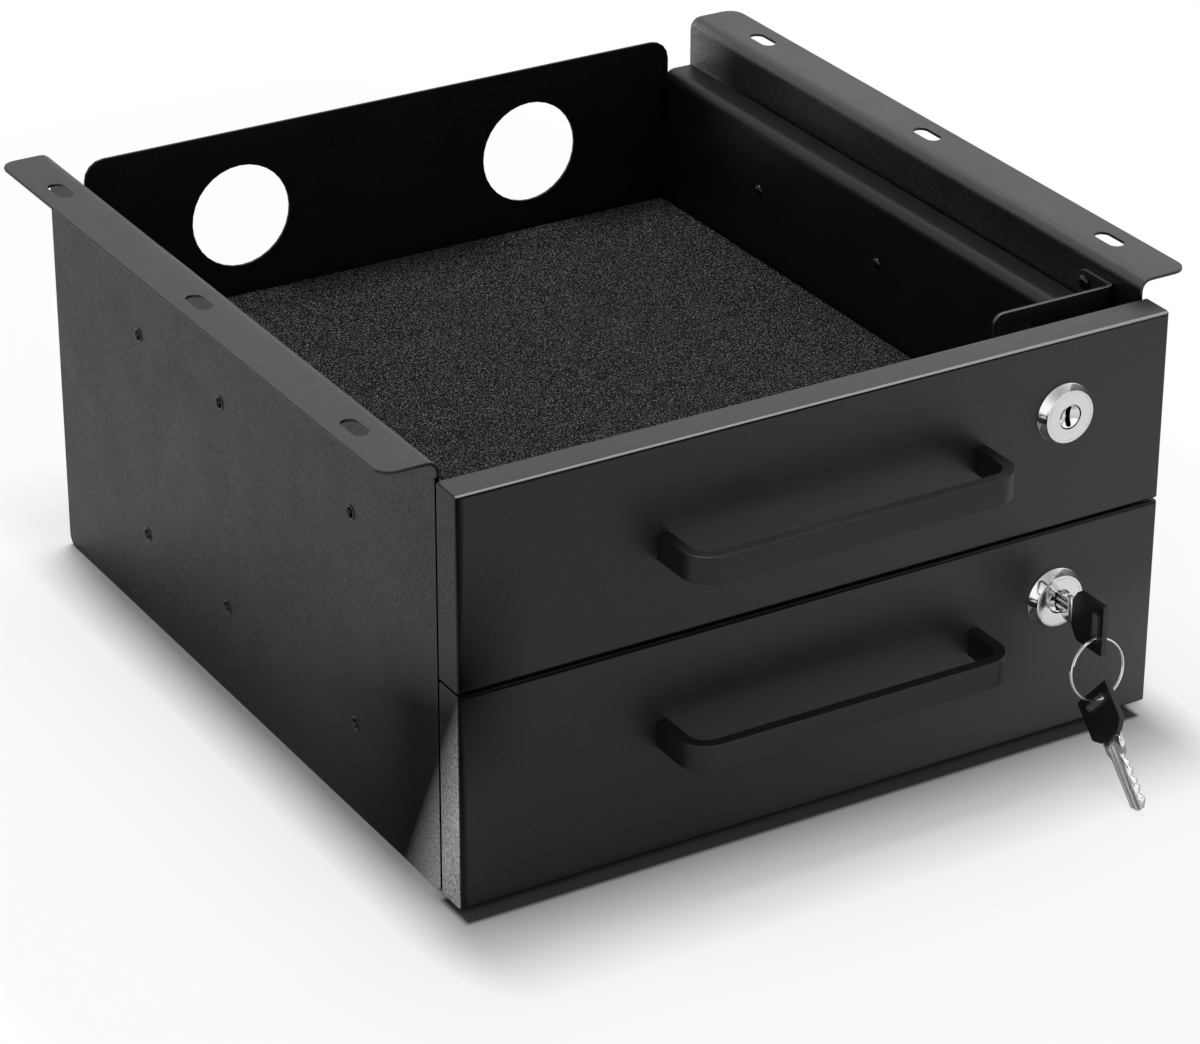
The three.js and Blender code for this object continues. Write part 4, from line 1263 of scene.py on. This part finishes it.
class SAFE_OT_stage(bpy.types.Operator):
    """Lay the floor and set the lamps, the room light and the camera"""

    bl_idname = "safe.stage"
    bl_label = "Stage"
    floor_size = 12
    floor_drop = 0.0002
    lamp_size = 0.7
    lamp_target = (0, 0, 0.05)
    top_fade = (0.5, 1)
    sensor = 36
    seen_from = 0.05
    seen_to = 50

    def execute(self, context):
        sizes = context.scene.safe_stage
        self.floor(sizes)
        self.room(context.scene, sizes)
        self.lamp("Key lamp", sizes.key_place, sizes.key_light)
        self.camera(context.scene, sizes)
        context.scene.view_settings.view_transform = "Standard"
        return {"FINISHED"}

    def floor(self, sizes):
        none_selected()
        bpy.ops.mesh.primitive_plane_add(size=self.floor_size, location=(0, 0, -self.floor_drop))
        floor = bpy.context.object
        floor.name = "floor"
        settle(floor)
        made = Finish("Floor", roughness=0.8)
        low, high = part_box("lower_front")
        # Painted shadow: a dark strip on the floor right before the fronts.
        strip = self.strip(made, low, high, sizes)
        dark = scaled(sizes.floor_colour, sizes.strip_share)
        made.shade("Base Color", made.mix(strip, sizes.floor_colour, dark))
        made.shade("Specular IOR Level", 0.15)
        lean = sizes.shadow_lean
        half = (high.x - lean, -low.y, 0)
        from_middle = made.vector("ABSOLUTE", made.place(offset=(lean, 0, 0)))["Vector"]
        beyond = made.vector("SUBTRACT", from_middle, half)["Vector"]
        outside = made.vector("MAXIMUM", beyond, (0, 0, 0))["Vector"]
        uneven = made.vector("MULTIPLY", outside, (sizes.side_share, 1, 1))["Vector"]
        distance = made.vector("LENGTH", uneven)["Value"]
        near = made.rise(distance, sizes.paler_from, sizes.paler_to, sizes.paler_by)
        far = made.most(near, made.rise(distance, sizes.white_from, sizes.white_to))
        seen = made.node("ShaderNodeLightPath", {}).outputs["Is Camera Ray"]
        white = made.node("ShaderNodeEmission", {"Color": (1, 1, 1, 1)}).outputs["Emission"]
        # The painted shadow strip is left out of the whitening.
        share = made.without(made.times(far, seen), strip)
        blend = made.node("ShaderNodeMixShader", {0: share, 1: made.shader.outputs["BSDF"], 2: white})
        made.set(made.tree.nodes["Material Output"].inputs["Surface"], blend.outputs["Shader"])
        floor.data.materials.append(made.material)

    def strip(self, made, low, high, sizes):
        """Where a painted shadow darkens the floor right before the fronts."""
        spot = made.parts(made.place())
        fade = sizes.strip_fade
        front = low.y - sizes.strip_reach
        end = high.x - sizes.strip_short
        ahead = made.fall(spot["Y"], front, front - fade)
        behind = made.rise(spot["Y"], high.y, high.y - fade)
        left = made.rise(spot["X"], low.x - fade, low.x)
        right = made.fall(spot["X"], end, end + fade)
        return made.times(ahead, behind, left, right)

    def room(self, scene, sizes):
        room = bpy.data.worlds.new("Room")
        scene.world = room
        room.use_nodes = True
        made = Nodes(room.node_tree)
        rays = made.node("ShaderNodeLightPath", {}).outputs
        seen = made.most(rays["Is Camera Ray"], rays["Is Glossy Ray"], rays["Is Transmission Ray"])
        strength = made.spread(seen, 0, 1, sizes.room_light, sizes.room_shine)
        direction = made.node("ShaderNodeTexCoord", {}).outputs["Generated"]
        fade = made.spread(made.parts(direction)["Z"], *self.top_fade, 1, sizes.room_top)
        shade = made.tree.nodes["Background"].inputs
        made.set(shade["Strength"], made.times(strength, fade))
        made.set(shade["Color"], (1, 1, 1, 1))

    def lamp(self, name, place, power):
        light = bpy.data.lights.new(name, "AREA")
        light.shape = "DISK"
        light.size = self.lamp_size
        light.energy = power
        lamp = bpy.data.objects.new(name, light)
        bpy.context.scene.collection.objects.link(lamp)
        lamp.location = place
        lamp.rotation_euler = (Vector(self.lamp_target) - Vector(place)).to_track_quat("-Z", "Y").to_euler()

    def camera(self, scene, sizes):
        lens = bpy.data.cameras.new("Camera")
        lens.sensor_width = self.sensor
        lens.lens = sizes.lens
        lens.clip_start = self.seen_from
        lens.clip_end = self.seen_to
        camera = bpy.data.objects.new("Camera", lens)
        scene.collection.objects.link(camera)
        forward = Vector(sizes.forward).normalized()
        right = forward.cross(Vector(sizes.up)).normalized()
        up = right.cross(forward)
        turn = Matrix((right, up, -forward)).transposed().to_4x4()
        camera.matrix_world = Matrix.Translation(sizes.eye) @ turn
        scene.camera = camera


OPERATORS = (
    SAFE_OT_case, SAFE_OT_drawers, SAFE_OT_handles, SAFE_OT_rivets, SAFE_OT_mats, SAFE_OT_locks,
    SAFE_OT_screws, SAFE_OT_slides, SAFE_OT_keys, SAFE_OT_ring, SAFE_OT_stage,
)
SETTINGS = {
    "safe_paint": PaintSettings,
    "safe_handles": HandleSettings,
    "safe_rivets": RivetSettings,
    "safe_mats": MatSettings,
    "safe_locks": LockSettings,
    "safe_keys": KeySettings,
    "safe_slides": SlideSettings,
    "safe_stage": StageSettings,
}


class SAFE_PT_pieces(bpy.types.Panel):
    """Lists the pieces in the order in which they are made, and then their sizes and colours"""

    bl_idname = "SAFE_PT_pieces"
    bl_label = "Drawer safe"
    bl_space_type = "VIEW_3D"
    bl_region_type = "UI"
    bl_category = "Drawer safe"

    def draw(self, context):
        for operator in OPERATORS:
            self.layout.operator(operator.bl_idname)
        for name in SETTINGS:
            box = self.layout.box()
            settings = getattr(context.scene, name)
            for key in settings.__annotations__:
                box.prop(settings, key)


def register():
    for name, group in SETTINGS.items():
        bpy.utils.register_class(group)
        setattr(bpy.types.Scene, name, bpy.props.PointerProperty(type=group))
    for part in (*OPERATORS, SAFE_PT_pieces):
        bpy.utils.register_class(part)


def unregister():
    for part in (SAFE_PT_pieces, *reversed(OPERATORS)):
        bpy.utils.unregister_class(part)
    for name, group in SETTINGS.items():
        delattr(bpy.types.Scene, name)
        bpy.utils.unregister_class(group)


def main():
    register()
    for operator in OPERATORS:
        group, name = operator.bl_idname.split(".")
        getattr(getattr(bpy.ops, group), name)()


if __name__ == "__main__":
    main()
